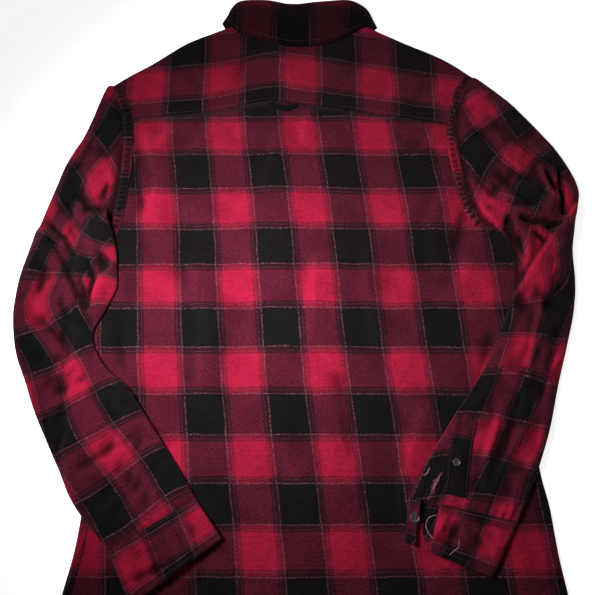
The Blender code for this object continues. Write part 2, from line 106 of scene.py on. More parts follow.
# Columns: the same, how much pale yarn there is.
PALE_LINES = (
    (0.0, 0.0), (0.216, 0.0), (0.220, 0.6), (0.225, 0.0), (0.262, 0.0), (0.267, 1.0), (0.273, 1.0),
    (0.278, 0.0),
)


def ease(t):
    """0 to 1, level at both ends."""
    t = np.clip(t, 0.0, 1.0)
    return t * t * (3 - 2 * t)


def mix(a, b, t):
    return a + (b - a) * t


def smooth(keys, values, at):
    """Values at given keys, on smooth lines through the rows of a table."""
    keys, values, at = (np.asarray(part, float) for part in (keys, values, at))
    at = np.clip(at, keys[0], keys[-1])
    i = np.clip(np.searchsorted(keys, at, side="right") - 1, 0, len(keys) - 2)
    row = np.arange(len(keys))
    low, high = np.maximum(row - 1, 0), np.minimum(row + 1, len(keys) - 1)
    wide = (slice(None),) + (None,) * (values.ndim - 1)
    slopes = (values[high] - values[low]) / (keys[high] - keys[low])[wide]
    step = keys[i + 1] - keys[i]
    t = (at - keys[i]) / step
    if values.ndim > 1:
        step, t = step[wide], t[wide]
    bent = slopes[i] * step * t * (1 - t) ** 2 + slopes[i + 1] * step * t * t * (t - 1)
    return mix(values[i], values[i + 1], ease(t)) + bent


def read(table, key, column=1):
    rows = np.array(table, float)
    return smooth(rows[:, 0], rows[:, column], key)


def creases(table, x, y):
    """The height that a table's creases add: ridges where it is positive, troughs where it isn't."""
    total = np.zeros(np.broadcast(x, y).shape)
    for height, left, right, *run in table:
        ends = np.array(run, float).reshape(-1, 2)
        nearest = np.full(total.shape, 1e9)
        side = np.zeros(total.shape)
        fade = np.zeros(total.shape)
        lengths = np.hypot(*(ends[1:] - ends[:-1]).T)
        for k, length in enumerate(lengths):
            (x0, y0), (x1, y1) = ends[k], ends[k + 1]
            along = ((x - x0) * (x1 - x0) + (y - y0) * (y1 - y0)) / length
            aside = ((x - x0) * (y1 - y0) - (y - y0) * (x1 - x0)) / length
            past = np.maximum(np.maximum(-along, along - length), 0)
            away = np.hypot(aside, past)
            done = along + lengths[:k].sum()
            soft = ease((done + 10) / 26) * ease((lengths.sum() + 10 - done) / 26)
            closer = away < nearest
            nearest, side = np.where(closer, away, nearest), np.where(closer, aside, side)
            fade = np.where(closer, soft, fade)
        total += height * fade * np.exp(-((nearest / np.where(side < 0, left, right)) ** 1.5))
    return total


def drape(x, y):
    """The slow waves of cloth that lies loosely."""
    slow = 0.75 * np.sin(x / 41 + y / 67 + 1.3) + 0.55 * np.sin(x / 27 - y / 33)
    return slow + 0.22 * np.sin(x / 13 + y / 9.1 + 0.6 * np.sin(y / 21)) + 0.12 * np.sin(x / 8.7 - y / 14.3)


def hem(x):
    """The curved shirt tail."""
    return mix(HEM_CENTRE, HEM_SIDE, ease((np.abs(x - 15) - 90) / 155))


def over(x, y):
    """The middle of the back and the yoke, as the part has it."""
    centre = 4.4 * ease((104 - np.abs(x)) / 78)
    neck = 2.4 * ease((190 - np.abs(x)) / 80) * ease((y - 330) / 50)
    return CLOTH / 2 + 2 * FOLD + np.maximum(centre, neck) + creases(BACK_FOLDS, x, y)


def yoke_seam(x):
    return read(YOKE_SEAM, x)


def face(x, y):
    """The middle of the back and the yoke with the creases and puckers that show."""
    seam = np.exp(-(((y - yoke_seam(x)) / 9) ** 2))
    pucker = 0.35 * seam * np.sin(x / 2.3 + 1.4 * np.sin(x / 9))
    sunk = -0.9 * np.exp(-(((y - yoke_seam(x)) / 2.6) ** 2))
    return over(x, y) + 2.1 * creases(BACK_CREASES, x, y) + 1.2 * drape(x, y) + pucker + sunk


def armhole(side, y, out=0.0):
    """A point of an armhole seam, side -1 on the left and 1 on the right, moved away from the body."""
    column = 1 if side < 0 else 2
    low, high = np.maximum(y - 1, PIT), np.minimum(y + 1, ARMHOLES[-1][0])
    lean = side * (read(ARMHOLES, high, column) - read(ARMHOLES, low, column)) / (high - low)
    length = np.hypot(1, lean)
    return read(ARMHOLES, y, column) + side * out / length, y - out * lean / length


def side_fold(side, y):
    return read(SIDES, y, 1 if side < 0 else 2)


def body_edge(side, y, inset):
    """X of a panel's edge: the armhole above the underarm, and inset from the side fold below it."""
    return np.where(y > PIT + 0.5, armhole(side, y)[0], side_fold(side, y) - side * inset)


def panel(columns, rows, left, right, bottom, top):
    """X and Y of a panel's points. A row is its share of the way up at the left and at the right."""

    def end(edge):
        y = edge(np.zeros(len(columns)))
        for _ in range(8):
            y = edge(mix(left(y), right(y), columns))
        return y

    share = mix(rows[:, :1], rows[:, 1:], columns[None, :])
    y = mix(end(bottom)[None, :], end(top)[None, :], share)
    return mix(left(y), right(y), columns[None, :]), y


def side_rows(left_top, right_top, spacing=GRAIN):
    """The rows of a body panel, which are level with each other at the underarm."""
    levels = np.concatenate([np.arange(HEM_SIDE, PIT, spacing), [PIT, 82, 84]])
    levels = np.concatenate([levels, np.arange(86, min(left_top, right_top) - 2, spacing)])
    rows = [(levels - HEM_SIDE) / (top - HEM_SIDE) for top in (left_top, right_top)]
    return np.append(np.stack(rows, 1), [[1.0, 1.0]], 0)


def node(tree, kind, links=(), **settings):
    """A shader node with its settings, and links to its inputs by name or number."""
    made = tree.nodes.new(kind)
    for key, value in settings.items():
        setattr(made, key, value)
    for socket, source in dict(links).items():
        if isinstance(source, bpy.types.NodeSocket):
            tree.links.new(source, made.inputs[socket])
        else:
            made.inputs[socket].default_value = source
    return made


def sums(tree, operation, *values):
    return node(tree, "ShaderNodeMath", dict(enumerate(values)), operation=operation).outputs[0]


def ramp(tree, source, stops):
    """A value or a colour read off a line of stops."""
    made = node(tree, "ShaderNodeValToRGB", {0: source})
    line = made.color_ramp.elements
    while len(line) < len(stops):
        line.new(1.0)
    for stop, (at, colour) in zip(line, stops):
        stop.position = at
        stop.color = (*colour, 1) if isinstance(colour, tuple) else (colour, colour, colour, 1)
    return made.outputs[0]


def material(name):
    """A new material, with its node tree and its shader."""
    made = bpy.data.materials.new(name)
    made.use_nodes = True
    return made, made.node_tree, made.node_tree.nodes["Principled BSDF"]


def brushed_check(name, tone_and_painted_shade=1.0, nap=1.0):
    """Woven check flannel: the yarns' stripes cross in UV map check, under a brushed, flecked nap."""
    made, tree, shader = material(name)
    where = node(tree, "ShaderNodeUVMap", uv_map="check").outputs[0]
    place = node(tree, "ShaderNodeTexCoord").outputs["Object"]

    def noise(scale, source=place, detail=2.0, rough=0.5, stretch=None):
        if stretch:
            links = {0: source, 1: stretch}
            source = node(tree, "ShaderNodeVectorMath", links, operation="MULTIPLY").outputs[0]
        links = {"Vector": source, "Scale": scale, "Detail": detail, "Roughness": rough}
        return node(tree, "ShaderNodeTexNoise", links).outputs["Fac"]

    axes = node(tree, "ShaderNodeSeparateXYZ", {0: where}).outputs
    sway = sums(tree, "MULTIPLY_ADD", noise(30.0), 0.036, -0.018)
    fuzz = sums(tree, "MULTIPLY_ADD", noise(620.0, detail=3.0, rough=0.7), 0.030, -0.015)
    sway = sums(tree, "ADD", sway, fuzz)
    threads, pales = [], []
    for axis in (0, 1):
        away = sums(tree, "PINGPONG", sums(tree, "ADD", axes[axis], sway), 0.5)
        threads.append(ramp(tree, away, STRIPES))
        pales.append(ramp(tree, away, PALE_LINES))
    share = sums(tree, "MULTIPLY", sums(tree, "ADD", *threads), 0.5)
    # Flecks: short lengths of either yarn that the brushing pulls up, most where the two colours cross.
    crossed = sums(tree, "MULTIPLY", share, sums(tree, "SUBTRACT", 1.0, share))
    fleck = noise(1.0, where, 4.0, 0.75, (30.0, 84.0, 1.0))
    twill = noise(1.0, where, 3.0, 0.7, (110.0, 66.0, 1.0))
    flecked = sums(tree, "MULTIPLY_ADD", fleck, 0.55, sums(tree, "MULTIPLY", twill, 0.45))
    flecked = sums(tree, "SUBTRACT", flecked, 0.5)
    spread = sums(tree, "MULTIPLY_ADD", crossed, 4.8, 0.45)
    share = sums(tree, "MULTIPLY_ADD", flecked, spread, share)
    deep = tuple(0.42 * (a + b) for a, b in zip(MAROON, BLACK))
    bright = tuple(0.5 * (a + b) for a, b in zip(MAROON, RED))
    yarn = ramp(tree, share, ((0.0, BLACK), (0.25, deep), (0.5, MAROON), (0.75, bright), (1.0, RED)))
    broken = ramp(tree, noise(1.0, where, 2.0, 0.6, (64.0, 64.0, 1.0)), ((0.47, 0.0), (0.56, 1.0)))
    broken = sums(tree, "MULTIPLY_ADD", broken, 0.50, 0.03)
    line = sums(tree, "MULTIPLY", sums(tree, "MAXIMUM", *pales), broken)
    lined = node(tree, "ShaderNodeMix", {0: line, 6: yarn, 7: (*PALE, 1)}, data_type="RGBA").outputs[2]
    # The nap lies in patches, so the same colour is a little lighter or darker from place to place. The
    # colour is also darkened by a factor for the whole piece, which is painted shade on the collar, and by
    # painted shade in the hollows.
    nap_patches_and_painted_shade = sums(tree, "MULTIPLY_ADD", noise(16.0, detail=5.0, rough=0.62), 0.62 * nap, tone_and_painted_shade * 0.42)
    nap_patches_and_painted_shade = sums(tree, "MULTIPLY_ADD", fleck, 0.85 * nap, sums(tree, "SUBTRACT", nap_patches_and_painted_shade, 0.15 * nap))
    crinkle = noise(1.0, where, 4.0, 0.65, (7.0, 26.0, 1.0))
    nap_patches_and_painted_shade = sums(tree, "MULTIPLY_ADD", crinkle, 0.7 * nap, sums(tree, "SUBTRACT", nap_patches_and_painted_shade, 0.35 * nap))
    # Painted shade and highlight from the second UV map: the colour falls to a tenth in the deepest hollows
    # and to 0.8 on flat cloth, and stays whole on ridges.
    painted_hollow_shade = node(tree, "ShaderNodeUVMap", uv_map="painted_hollow_shade").outputs[0]
    relief = node(tree, "ShaderNodeSeparateXYZ", {0: painted_hollow_shade}).outputs[0]
    depth = ramp(tree, relief, ((0.0, 0.10), (0.30, 0.45), (0.5, 0.80), (1.0, 1.0)))
    nap_patches_and_painted_shade = sums(tree, "MULTIPLY", nap_patches_and_painted_shade, depth)
    grey = node(tree, "ShaderNodeCombineColor", {0: nap_patches_and_painted_shade, 1: nap_patches_and_painted_shade, 2: nap_patches_and_painted_shade}).outputs[0]
    dyed_with_painted_shade = node(tree, "ShaderNodeMix", {0: 1.0, 6: lined, 7: grey}, data_type="RGBA", blend_type="MULTIPLY")
    tree.links.new(dyed_with_painted_shade.outputs[2], shader.inputs["Base Color"])
    shader.inputs["Roughness"].default_value = 0.93
    shader.inputs["Specular IOR Level"].default_value = 0.06
    shader.inputs["Sheen Weight"].default_value = 0.05
    shader.inputs["Sheen Roughness"].default_value = 0.55
    shader.inputs["Sheen Tint"].default_value = (0.75, 0.45, 0.5, 1)
    weave = sums(tree, "MULTIPLY_ADD", twill, 0.5, sums(tree, "MULTIPLY", fleck, 0.5))
    rough_nap = node(tree, "ShaderNodeBump", {"Strength": 0.5 * nap, "Distance": 0.0006, "Height": weave})
    # Crumples the size of a fingertip, with a finer crinkle that runs across the cloth.
    crumple = noise(64.0, detail=4.0, rough=0.62)
    links = {"Strength": 0.8, "Distance": 0.0040, "Height": crumple, "Normal": rough_nap.outputs[0]}
    slow = node(tree, "ShaderNodeBump", links)
    links = {"Strength": 0.9, "Distance": 0.0024, "Height": crinkle, "Normal": slow.outputs[0]}
    tree.links.new(node(tree, "ShaderNodeBump", links).outputs[0], shader.inputs["Normal"])
    return made


flannel = brushed_check("flannel_check")


def painted_relief_shade(points, closed, reach=4, depth=5.0):
    """Painted shade from the cloth's relief: 0 deep in a hollow, 0.5 on flat cloth and 1 high on a ridge.
    """
    height = np.where(np.isnan(points[..., 2]), np.nanmean(points[..., 2]), points[..., 2])
    level = height
    for axis in (0, 1, 0, 1):
        mode = "wrap" if closed and axis == 1 else "edge"
        pad = [(reach, reach) if axis == k else (0, 0) for k in (0, 1)]
        wide = np.pad(level, pad, mode=mode)
        count = level.shape[axis]
        near = range(2 * reach + 1)
        level = sum(np.take(wide, range(k, k + count), axis) for k in near) / len(near)
    return np.clip(0.5 + (height - level) / depth, 0.0, 1.0)


def solid(name, vertices, faces, finish):
    """A smooth mesh of one material, put into the scene."""
    mesh = bpy.data.meshes.new(name)
    mesh.from_pydata(vertices, [], faces)
    mesh.materials.append(finish)
    mesh.shade_smooth()
    piece = bpy.data.objects.new(name, mesh)
    bpy.context.scene.collection.objects.link(piece)
    return piece


def sew(name, points, check, finish=flannel, closed=False, thickness=FLANNEL, extra_painted_shade=0.0):
    """A shell of cloth through rows and columns of points, whose check is given in repeats."""
    rows, columns = points.shape[:2]
    wrap = columns if closed else columns - 1
    index = np.arange(rows * columns).reshape(rows, columns)
    beside = (np.arange(wrap) + 1) % columns
    quads = np.stack([index[:-1, :wrap], index[:-1, beside], index[1:, beside], index[1:, :wrap]], -1)
    quads = quads.reshape(-1, 4)
    corners = [check[:-1, :wrap], check[:-1, 1:wrap + 1], check[1:, 1:wrap + 1], check[1:, :wrap]]
    corners = np.stack(corners, 2).reshape(-1, 4, 2)
    flat = points.reshape(-1, 3)
    there = ~np.isnan(flat[:, 0])
    whole = there[quads].all(1)
    number = np.cumsum(there) - 1
    flat = (flat[there] - [*MIDDLE, 0.0]) * MM
    piece = solid(name, flat.tolist(), number[quads[whole]].tolist(), finish)
    piece.data.uv_layers.new(name="check").data.foreach_set("uv", corners[whole].ravel())
    # The second UV map carries painted shade: this relief level, less any extra painted shadow.
    painted_shade_level = np.maximum(painted_relief_shade(points, closed) - extra_painted_shade, 0.0).ravel()[quads[whole]]
    piece.data.uv_layers.new(name="painted_hollow_shade").data.foreach_set("uv", np.stack([painted_shade_level, painted_shade_level], -1).ravel())
    wall = piece.modifiers.new("cloth", "SOLIDIFY")
    wall.thickness = thickness * MM
    wall.offset = 0
    return piece


def pair(u, v):
    return np.stack(np.broadcast_arrays(u, v), -1).astype(float)


def spot(x, y, z):
    return np.stack(np.broadcast_arrays(x, y, z), -1).astype(float)


def body_check(x, y):
    return pair((x - read(STRIPE_LEAN, y)) / 100, read(BACK_BANDS, y))


def turned(x, y, z, side, low, turn, arc=6, flat=4):
    """Columns that carry a panel's edge round a side fold on to the underside."""
    middle, radius = (z + low) / 2, (z - low) / 2
    around = np.linspace(0, math.pi, arc + 1)[1:]
    grown = [(x + side * FOLD * np.sin(a), y, middle + radius * np.cos(a)) for a in around]
    grown += [(x - side * reach, y, low) for reach in np.linspace(0, turn, flat + 1)[1:]]
    return np.stack([spot(*column) for column in grown], 1)


across = np.linspace(0, 1, 166)
x, y = panel(
    across, side_rows(YOKE_SEAM[0][1], YOKE_SEAM[-1][1]),
    lambda y: body_edge(-1, y, mix(FOLD + 1, SIDE_TURN - 3, ease((PIT - y) / 50))),
    lambda y: body_edge(1, y, FOLD), hem, yoke_seam,
)
points = spot(x, y, face(x, y))
below = y[:, -1] <= PIT + 0.5
rolled = turned(x[:, -1], y[:, -1], points[:, -1, 2], 1, CLOTH / 2, SIDE_TURN - FOLD)
rolled[~below] = np.nan
points = np.concatenate([points, rolled], 1)
check = body_check(points[..., 0], points[..., 1])
edge = len(across) - 1
check[:, edge + 1:] = check[:, edge:edge + 1]
check[:, edge + 1:, 0] += np.linspace(0.02, 0.15, rolled.shape[1])
back_panel = sew("back_panel", points, check)
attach(back_panel, "root")
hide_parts("back")


# ---------------------------------------------------------------------------------------------------------
# The yoke. A shaped piece of the same flannel on a lining of itself. It is sewn to the back, runs over both
# shoulders and is felled to the fronts below, and its neck edge is caught in the collar stand.

SHOULDER_IN = (0.464, -0.886)  # from the left shoulder's fold, square to it and down the body
YOKE_TURN = 28.0  # how far the yoke runs on below, past the shoulder fold
YOKE_NECK = (0.3495, 0.6913)  # the share of its width at which the neck begins and ends
# Columns: X, Y of the shoulder folds, with the back of the neck between them.
SHOULDERS = (
    (-262, 306), (-237, 324), (-210, 340), (-181, 362), (-156, 379), (-131, 390), (-88, 407), (-45, 401),
    (0, 398), (45, 401), (88, 407), (115, 394), (142, 380), (168, 368), (197, 354), (217, 341), (247, 317),
)
YOKE_CREASES = (
    (1.3, 8, 8, -190, 272, -214, 312), (1.0, 7, 7, -120, 284, -150, 342), (1.2, 10, 10, -20, 300, -34, 370),
    (1.1, 9, 9, 118, 272, 150, 330), (1.3, 8, 8, 178, 262, 204, 316), (-0.9, 7, 7, -90, 290, -84, 350),
    (0.9, 8, 8, 30, 284, 40, 346), (-0.9, 8, 8, 150, 268, 176, 318),
)


def under(x, y, rise=0.0):
    """The middle of the layer on the surface, which clears the buttons, the placket and the collar."""
    strip = rise * ease((64 - np.abs(x)) / 40)
    collar = LAYER * ease((155 - np.abs(x)) / 30) * ease((y - 228) / 28)
    return CLOTH / 2 + np.maximum(strip, collar)


def shoulder(x):
    return read(SHOULDERS, x)


def shoulder_face(x, y):
    return face(x, y) + creases(YOKE_CREASES, x, y)


across = np.concatenate([
    np.linspace(0, YOKE_NECK[0], 55)[:-1], np.linspace(*YOKE_NECK, 55)[:-1],
    np.linspace(YOKE_NECK[1], 1, 55)])
up = np.linspace(0, 1, 44)
x, y = panel(
    across, np.stack([up, up], 1), lambda y: armhole(-1, y)[0], lambda y: armhole(1, y)[0],
    yoke_seam, lambda x: shoulder(x) + FOLD / SHOULDER_IN[1],
)
points = spot(x, y, shoulder_face(x, y) + 0.35)
inward = np.where(across < 0.5, SHOULDER_IN[0], -SHOULDER_IN[0])
edge_x, edge_y, edge_z = points[-1].T
turn = []
for angle in np.linspace(0, math.pi, 7)[1:]:
    low = under(edge_x, edge_y)
    out = FOLD * math.sin(angle)
    height = (edge_z + low) / 2 + (edge_z - low) / 2 * math.cos(angle)
    turn.append(spot(edge_x - out * inward, edge_y - out * SHOULDER_IN[1], height))
for reach in np.linspace(0, YOKE_TURN - FOLD, 6)[1:]:
    below_x, below_y = edge_x + reach * inward, edge_y + reach * SHOULDER_IN[1]
    turn.append(spot(below_x, below_y, under(below_x, below_y)))
turn = np.stack(turn)
turn[:, (across > YOKE_NECK[0] + 0.001) & (across < YOKE_NECK[1] - 0.001)] = np.nan
points = np.concatenate([points, turn])
run_on = np.concatenate([y, y[-1:] + np.arange(1, len(turn) + 1)[:, None] * 3.0])
check = pair((np.concatenate([x, np.repeat(x[-1:], len(turn), 0)]) - 1) / 106, 0)
check[..., 1] = (run_on - yoke_seam(check[..., 0] * 106) - 49) / 102
yoke_panel = sew("yoke_panel", points, check)
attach(yoke_panel, "root")
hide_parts("yoke")


# ---------------------------------------------------------------------------------------------------------
# The two fronts, which lie below on the surface. The left one comes up round the side and is felled flat to
# the back with two rows of stitches, which draw the seam up into small puckers.

PLACKET_HALF = 17.5  # half the front placket's width
LEFT_RISE, RIGHT_RISE = 4.0, 5.5  # how far the placket and its buttons lift the two fronts
# Columns: X to either side, Y of the neck seam on the fronts.
FRONT_NECK = ((0, 321), (30, 327), (55, 341), (70, 360), (74.7, 381.7))


def armhole_end(side, top):
    """Y at which a panel's upper edge meets the armhole."""
    y = 300.0
    for _ in range(8):
        y = float(top(armhole(side, y)[0]))
    return y


def front_top(x):
    """Y of a front's upper edge: the yoke's turned edge, then the neck."""
    reach = YOKE_TURN + 3 * SEAM
    fold = shoulder(x + np.copysign(reach * SHOULDER_IN[0], x)) + reach * SHOULDER_IN[1]
    return np.where(np.abs(x) < FRONT_NECK[-1][0], read(FRONT_NECK, np.abs(x)), fold)


def puckers(along, step=3.2):
    """Uneven little pleats that a felled seam draws up along its length, 0 to 1."""
    phase = along / step * math.pi + 1.1 * np.sin(along / 13.0) + 0.7 * np.sin(along / 5.9 + 1.0)
    strong = 0.62 + 0.38 * np.sin(along / 19.0 + 0.8)
    return strong * (0.5 + 0.5 * np.sin(phase)) ** 1.2


def make_front(name, side, rise):
    inset = FOLD if side < 0 else SIDE_TURN + 2 * SEAM
    across = np.linspace(0, 1, 56)
    top = armhole_end(side, front_top)
    x, y = panel(
        across, side_rows(top, top, 3.4 if side < 0 else 6.0), lambda y: 0 * y - side * PLACKET_HALF,
        lambda y: body_edge(side, y, inset), hem, front_top,
    )
    points = spot(x, y, under(x, y, rise))
    if side < 0:
        edge_x, edge_y, low = points[:, -1].T
        lap = mix(FOLD + 3, SIDE_TURN, ease((PIT - edge_y) / 50))
        grown = []
        for angle in np.linspace(0, math.pi, 7)[1:]:
            high = face(edge_x, edge_y) + 0.7
            height = (high + low) / 2 - (high - low) / 2 * math.cos(angle)
            grown.append(spot(edge_x - FOLD * math.sin(angle), edge_y, height))
        for share in np.linspace(0, 1, 8)[1:]:
            at = edge_x + share * (lap - FOLD)
            swell = 1.1 * math.sin(math.pi * min(share * 1.05, 1)) * puckers(edge_y, 3.6)
            grown.append(spot(at, edge_y, face(at, edge_y) + 0.85 - 0.3 * share + swell))
        grown = np.stack(grown, 1)
        grown[edge_y > PIT + 0.5] = np.nan
        points = np.concatenate([points, grown], 1)
    check = body_check(points[..., 0] * -1 + 20, points[..., 1] + 4)
    for k in range(points.shape[1] - len(across)):
        check[:, len(across) + k] = body_check(points[:, len(across) - 1, 0], edge_y) - [k * 0.016, 0]
    order = slice(None, None, -1) if side < 0 else slice(None)
    piece = sew(name, points[:, order], check[:, order])
    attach(piece, "root")
    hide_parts(name.replace("_panel", ""))
    return piece


make_front("front_left_panel", -1, LEFT_RISE)
make_front("front_right_panel", 1, RIGHT_RISE)


# ---------------------------------------------------------------------------------------------------------
# The sleeves. Each is one piece of flannel closed under the arm and set flat into the armhole. The upper
# arm is crumpled where the sleeve turns in, and the elbow of the right one folds over itself.

LEFT_SLEEVE_LIFT = 2.6  # room for the placket and the button that lie under the left sleeve
# Columns: outer X, Y and inner X, Y of each section, from the armhole to the cuff.
LEFT_SLEEVE = (
    (-289, 240, -243, 91), (-313, 182, -239, 80), (-332, 118, -234, 63), (-344, 77, -231, 40),
    (-354, 36, -229, 12), (-358, -5, -240, -15), (-355, -40, -253, -42), (-347, -72, -251, -62),
    (-333, -103, -233, -90), (-318, -138, -208, -110), (-300, -172, -186, -140), (-280, -208, -165, -170),
    (-256, -246, -147, -195), (-235, -270, -131, -218), (-214, -292, -119, -238),
)
RIGHT_SLEEVE = (
    (290, 281, 252, 97), (325, 237, 262, 83), (350, 199, 268, 68), (368, 150, 271, 48), (358, 107, 270, 28),
    (350, 66, 266, 4), (348, 20, 255, -24), (340, -22, 241, -55), (327, -63, 225, -86),
    (313, -105, 208, -112), (299, -147, 189, -137), (284, -186, 169, -166), (266, -226, 146, -200),
    (247, -262, 126, -236),
)
# Columns: height, half width on the left and on the right of its run, then the X and Y of its run.
LEFT_CREASES = (
    (7.0, 26, 30, -322, 96, -292, 40, -268, -6), (5.0, 16, 18, -252, 110, -250, 60),
    (4.0, 22, 22, -262, 200, -290, 150), (-12.0, 4, 4, -266, 46, -258, 22, -261, -14),
    (-11.0, 5, 5, -252, 54, -240, 36), (9.0, 2.6, 12, -342, 94, -313, 58, -289, 20, -266, -24),
    (-9.0, 4, 4, -272, 22, -262, -16), (-8.0, 4, 4, -324, 98, -300, 76, -282, 48),
    (6.0, 3, 9, -290, 130, -268, 96, -262, 66), (-7.0, 3.5, 3.5, -282, 122, -270, 92),
    (-6.5, 3.5, 3.5, -306, 132, -292, 108), (4.0, 4, 9, -240, 173, -258, 152, -277, 128),
    (-2.6, 4, 4, -250, 167, -259, 133), (3.0, 4, 7, -266, 160, -281, 136),
    (5.0, 8, 5, -296, 216, -322, 168), (-3.2, 5, 5, -282, 214, -300, 172),
    (3.6, 10, 8, -258, 272, -270, 206), (5.0, 4, 9, -256, 92, -262, 30), (-5.5, 8, 8, -252, 46, -240, 24),
    (6.0, 10, 4, -234, 44, -252, 14, -268, -22), (3.4, 8, 5, -336, 66, -346, 14),
    (-2.8, 6, 6, -320, 40, -332, -6), (3.6, 5, 14, -312, 4, -290, -30, -256, -56),
    (3.4, 6, 10, -342, -34, -300, -70), (-2.6, 6, 6, -326, -20, -288, -60),
    (3.0, 9, 5, -300, -96, -262, -80), (2.8, 10, 5, -304, -140, -250, -110),
    (-2.4, 6, 6, -292, -120, -250, -98), (3.0, 9, 5, -282, -186, -222, -148),
    (2.8, 8, 5, -258, -222, -196, -180), (-2.2, 6, 6, -256, -205, -210, -176),
    (2.6, 6, 6, -224, -256, -200, -216), (2.6, 5, 5, -196, -262, -182, -232),
    (2.4, 5, 5, -168, -250, -160, -222), (2.8, 6, 6, -216, -122, -196, -160),
    (3.4, 6, 6, -246, 118, -250, 92), (3.2, 5, 9, -300, 120, -262, 104), (2.2, 4, 6, -262, 128, -290, 118),
    (2.2, 5, 4, -286, 188, -306, 196), (-2.0, 4, 4, -300, 96, -276, 60), (2.4, 5, 5, -340, 40, -318, -30),
    (2.0, 5, 5, -306, -48, -276, -90), (1.8, 4, 4, -180, -168, -176, -196),
)
RIGHT_CREASES = (
    (7.5, 24, 24, 268, 150, 316, 122, 344, 140), (6.5, 24, 26, 340, 104, 316, 50, 290, 14),
    (5.0, 9, 9, 292, 88, 288, 50), (-15.0, 4.5, 4.5, 284, 106, 302, 101, 318, 102),
    (-14.0, 4.5, 4.5, 318, 94, 342, 99), (-15.0, 4.5, 4.5, 269, 110, 267, 60, 265, 10),
    (-13.0, 3.5, 3.5, 343, 178, 344, 140, 341, 112), (-9.0, 3.5, 3.5, 300, 84, 312, 74),
    (-8.0, 4, 4, 278, 82, 282, 50), (4.0, 24, 24, 250, 196, 300, 196),
    (11.0, 16, 2.4, 362, 128, 336, 94, 313, 66, 292, 38, 268, 4), (-5.5, 8, 8, 286, 104, 314, 100),
    (-5.0, 7, 7, 316, 94, 338, 96), (6.0, 3.5, 9, 266, 118, 297, 114, 328, 124),
    (-5.5, 6, 6, 268, 104, 264, 16), (6.0, 5, 8, 284, 92, 284, 44), (5.0, 4, 4, 318, 184, 329, 124),
    (-4.2, 4, 4, 327, 176, 337, 140), (4.4, 4, 4, 340, 178, 347, 134), (3.6, 12, 12, 240, 292, 300, 232),
    (3.4, 8, 5, 232, 212, 252, 152), (3.4, 9, 5, 264, 200, 300, 168), (-3.0, 6, 6, 256, 176, 286, 140),
    (4.0, 4, 8, 288, 156, 318, 132), (4.0, 8, 4, 236, 140, 262, 118), (3.6, 9, 5, 330, 52, 300, 10),
    (-2.6, 6, 6, 336, 28, 300, -22), (4.0, 10, 5, 322, -20, 282, -64), (3.0, 8, 5, 336, -50, 306, -90),
    (3.8, 8, 5, 297, -5, 276, -80, 258, -151), (-2.6, 6, 6, 312, -66, 280, -140),
    (4.2, 6, 5, 240, -130, 216, -190, 208, -238), (4.0, 6, 5, 270, -148, 240, -192, 212, -238),
    (-3.2, 6, 6, 252, -148, 228, -200), (3.0, 8, 5, 290, -150, 262, -214),
    (3.0, 6, 6, 226, -100, 206, -140), (-2.4, 5, 5, 196, -180, 190, -226),
    (2.6, 5, 5, 248, -226, 236, -254), (2.4, 4, 4, 180, -214, 172, -240), (2.4, 4, 4, 158, -204, 150, -240),
    (2.2, 4, 4, 140, -214, 136, -238), (-2.4, 5, 5, 270, 150, 300, 122), (2.4, 5, 4, 310, 214, 336, 186),
    (2.0, 5, 5, 262, 236, 276, 204), (2.4, 5, 5, 256, -20, 246, -80), (2.0, 5, 5, 236, -90, 222, -120),
)
# Painted shadows along the deepest folds. Columns: how dark the painted shadow is, then as above.
LEFT_FOLD_SHADOWS = (
    (0.42, 4, 6, -328, 86, -304, 54, -286, 22, -266, -16), (0.55, 6, 6, -290, 36, -278, 8, -264, -24),
    (0.60, 8, 8, -256, 56, -242, 38), (0.30, 4, 4, -280, 126, -268, 92), (0.30, 4, 4, -250, 168, -262, 134),
    (0.30, 4, 4, -300, 66, -276, 60),
)
RIGHT_FOLD_SHADOWS = (
    (0.60, 8, 8, 274, 96, 272, 50, 268, -20), (0.55, 7, 7, 300, 92, 322, 88, 344, 76),
    (0.50, 5, 5, 343, 176, 344, 140, 341, 114), (0.40, 4, 4, 266, 114, 300, 104),
    (0.30, 4, 4, 300, 84, 290, 46), (0.30, 4, 4, 250, -148, 224, -204), (0.25, 4, 4, 300, -20, 270, -100),
)
UNDER_CREASES = (
    (1.4, 9, 9, -330, 60, -260, 20), (1.2, 10, 10, -340, -40, -270, -70), (1.4, 9, 9, 270, 90, 340, 60),
    (1.2, 9, 9, 330, -20, 260, -90), (1.2, 8, 8, -300, 160, -260, 110), (1.2, 8, 8, 300, 200, 260, 150),
)
# Where the check's red and black squares fall on a sleeve that is turned, pulled and crumpled. Columns:
# X, Y, then the stripe and the band, whole where they are red and half where they are black.
LEFT_SQUARES = (
    (-257, 241, -0.5, -2.5), (-263, 157, 0, -2), (-301, 152, -0.5, -1.5), (-256, 82, 0.5, -1.5),
    (-294, 82, 0, -1), (-329, 110, -1, -1), (-322, 60, -0.5, -0.5), (-248, 18, 1, -0.1), (-329, -12, 0, 0),
    (-274, -43, 0.5, 0.5), (-322, -69, -0.5, 0.5), (-270, -103, 0, 1), (-216, -129, 0.5, 1.5),
    (-285, -164, -0.5, 1.5), (-218, -186, 0, 2), (-153, -204, 0.5, 2.5), (-215, -252, -0.5, 2.5),
)
RIGHT_SQUARES = (
    (298, 252, -1.5, -2.5), (237, 204, -0.5, -2.5), (290, 192, -1, -2), (241, 100, 0, -2),
    (301, 145, -0.5, -1.5), (344, 138, -1, -1), (298, 78, 0, -1.15), (302, 35, 0, -1),
    (313, -30, -0.5, -0.5), (267, -67, 0, 0), (316, -82, -1, 0), (267, -128, -0.5, 0.5), (219, -168, 0, 1),
    (265, -182, -1, 1), (220, -213, -0.5, 1.5),
)


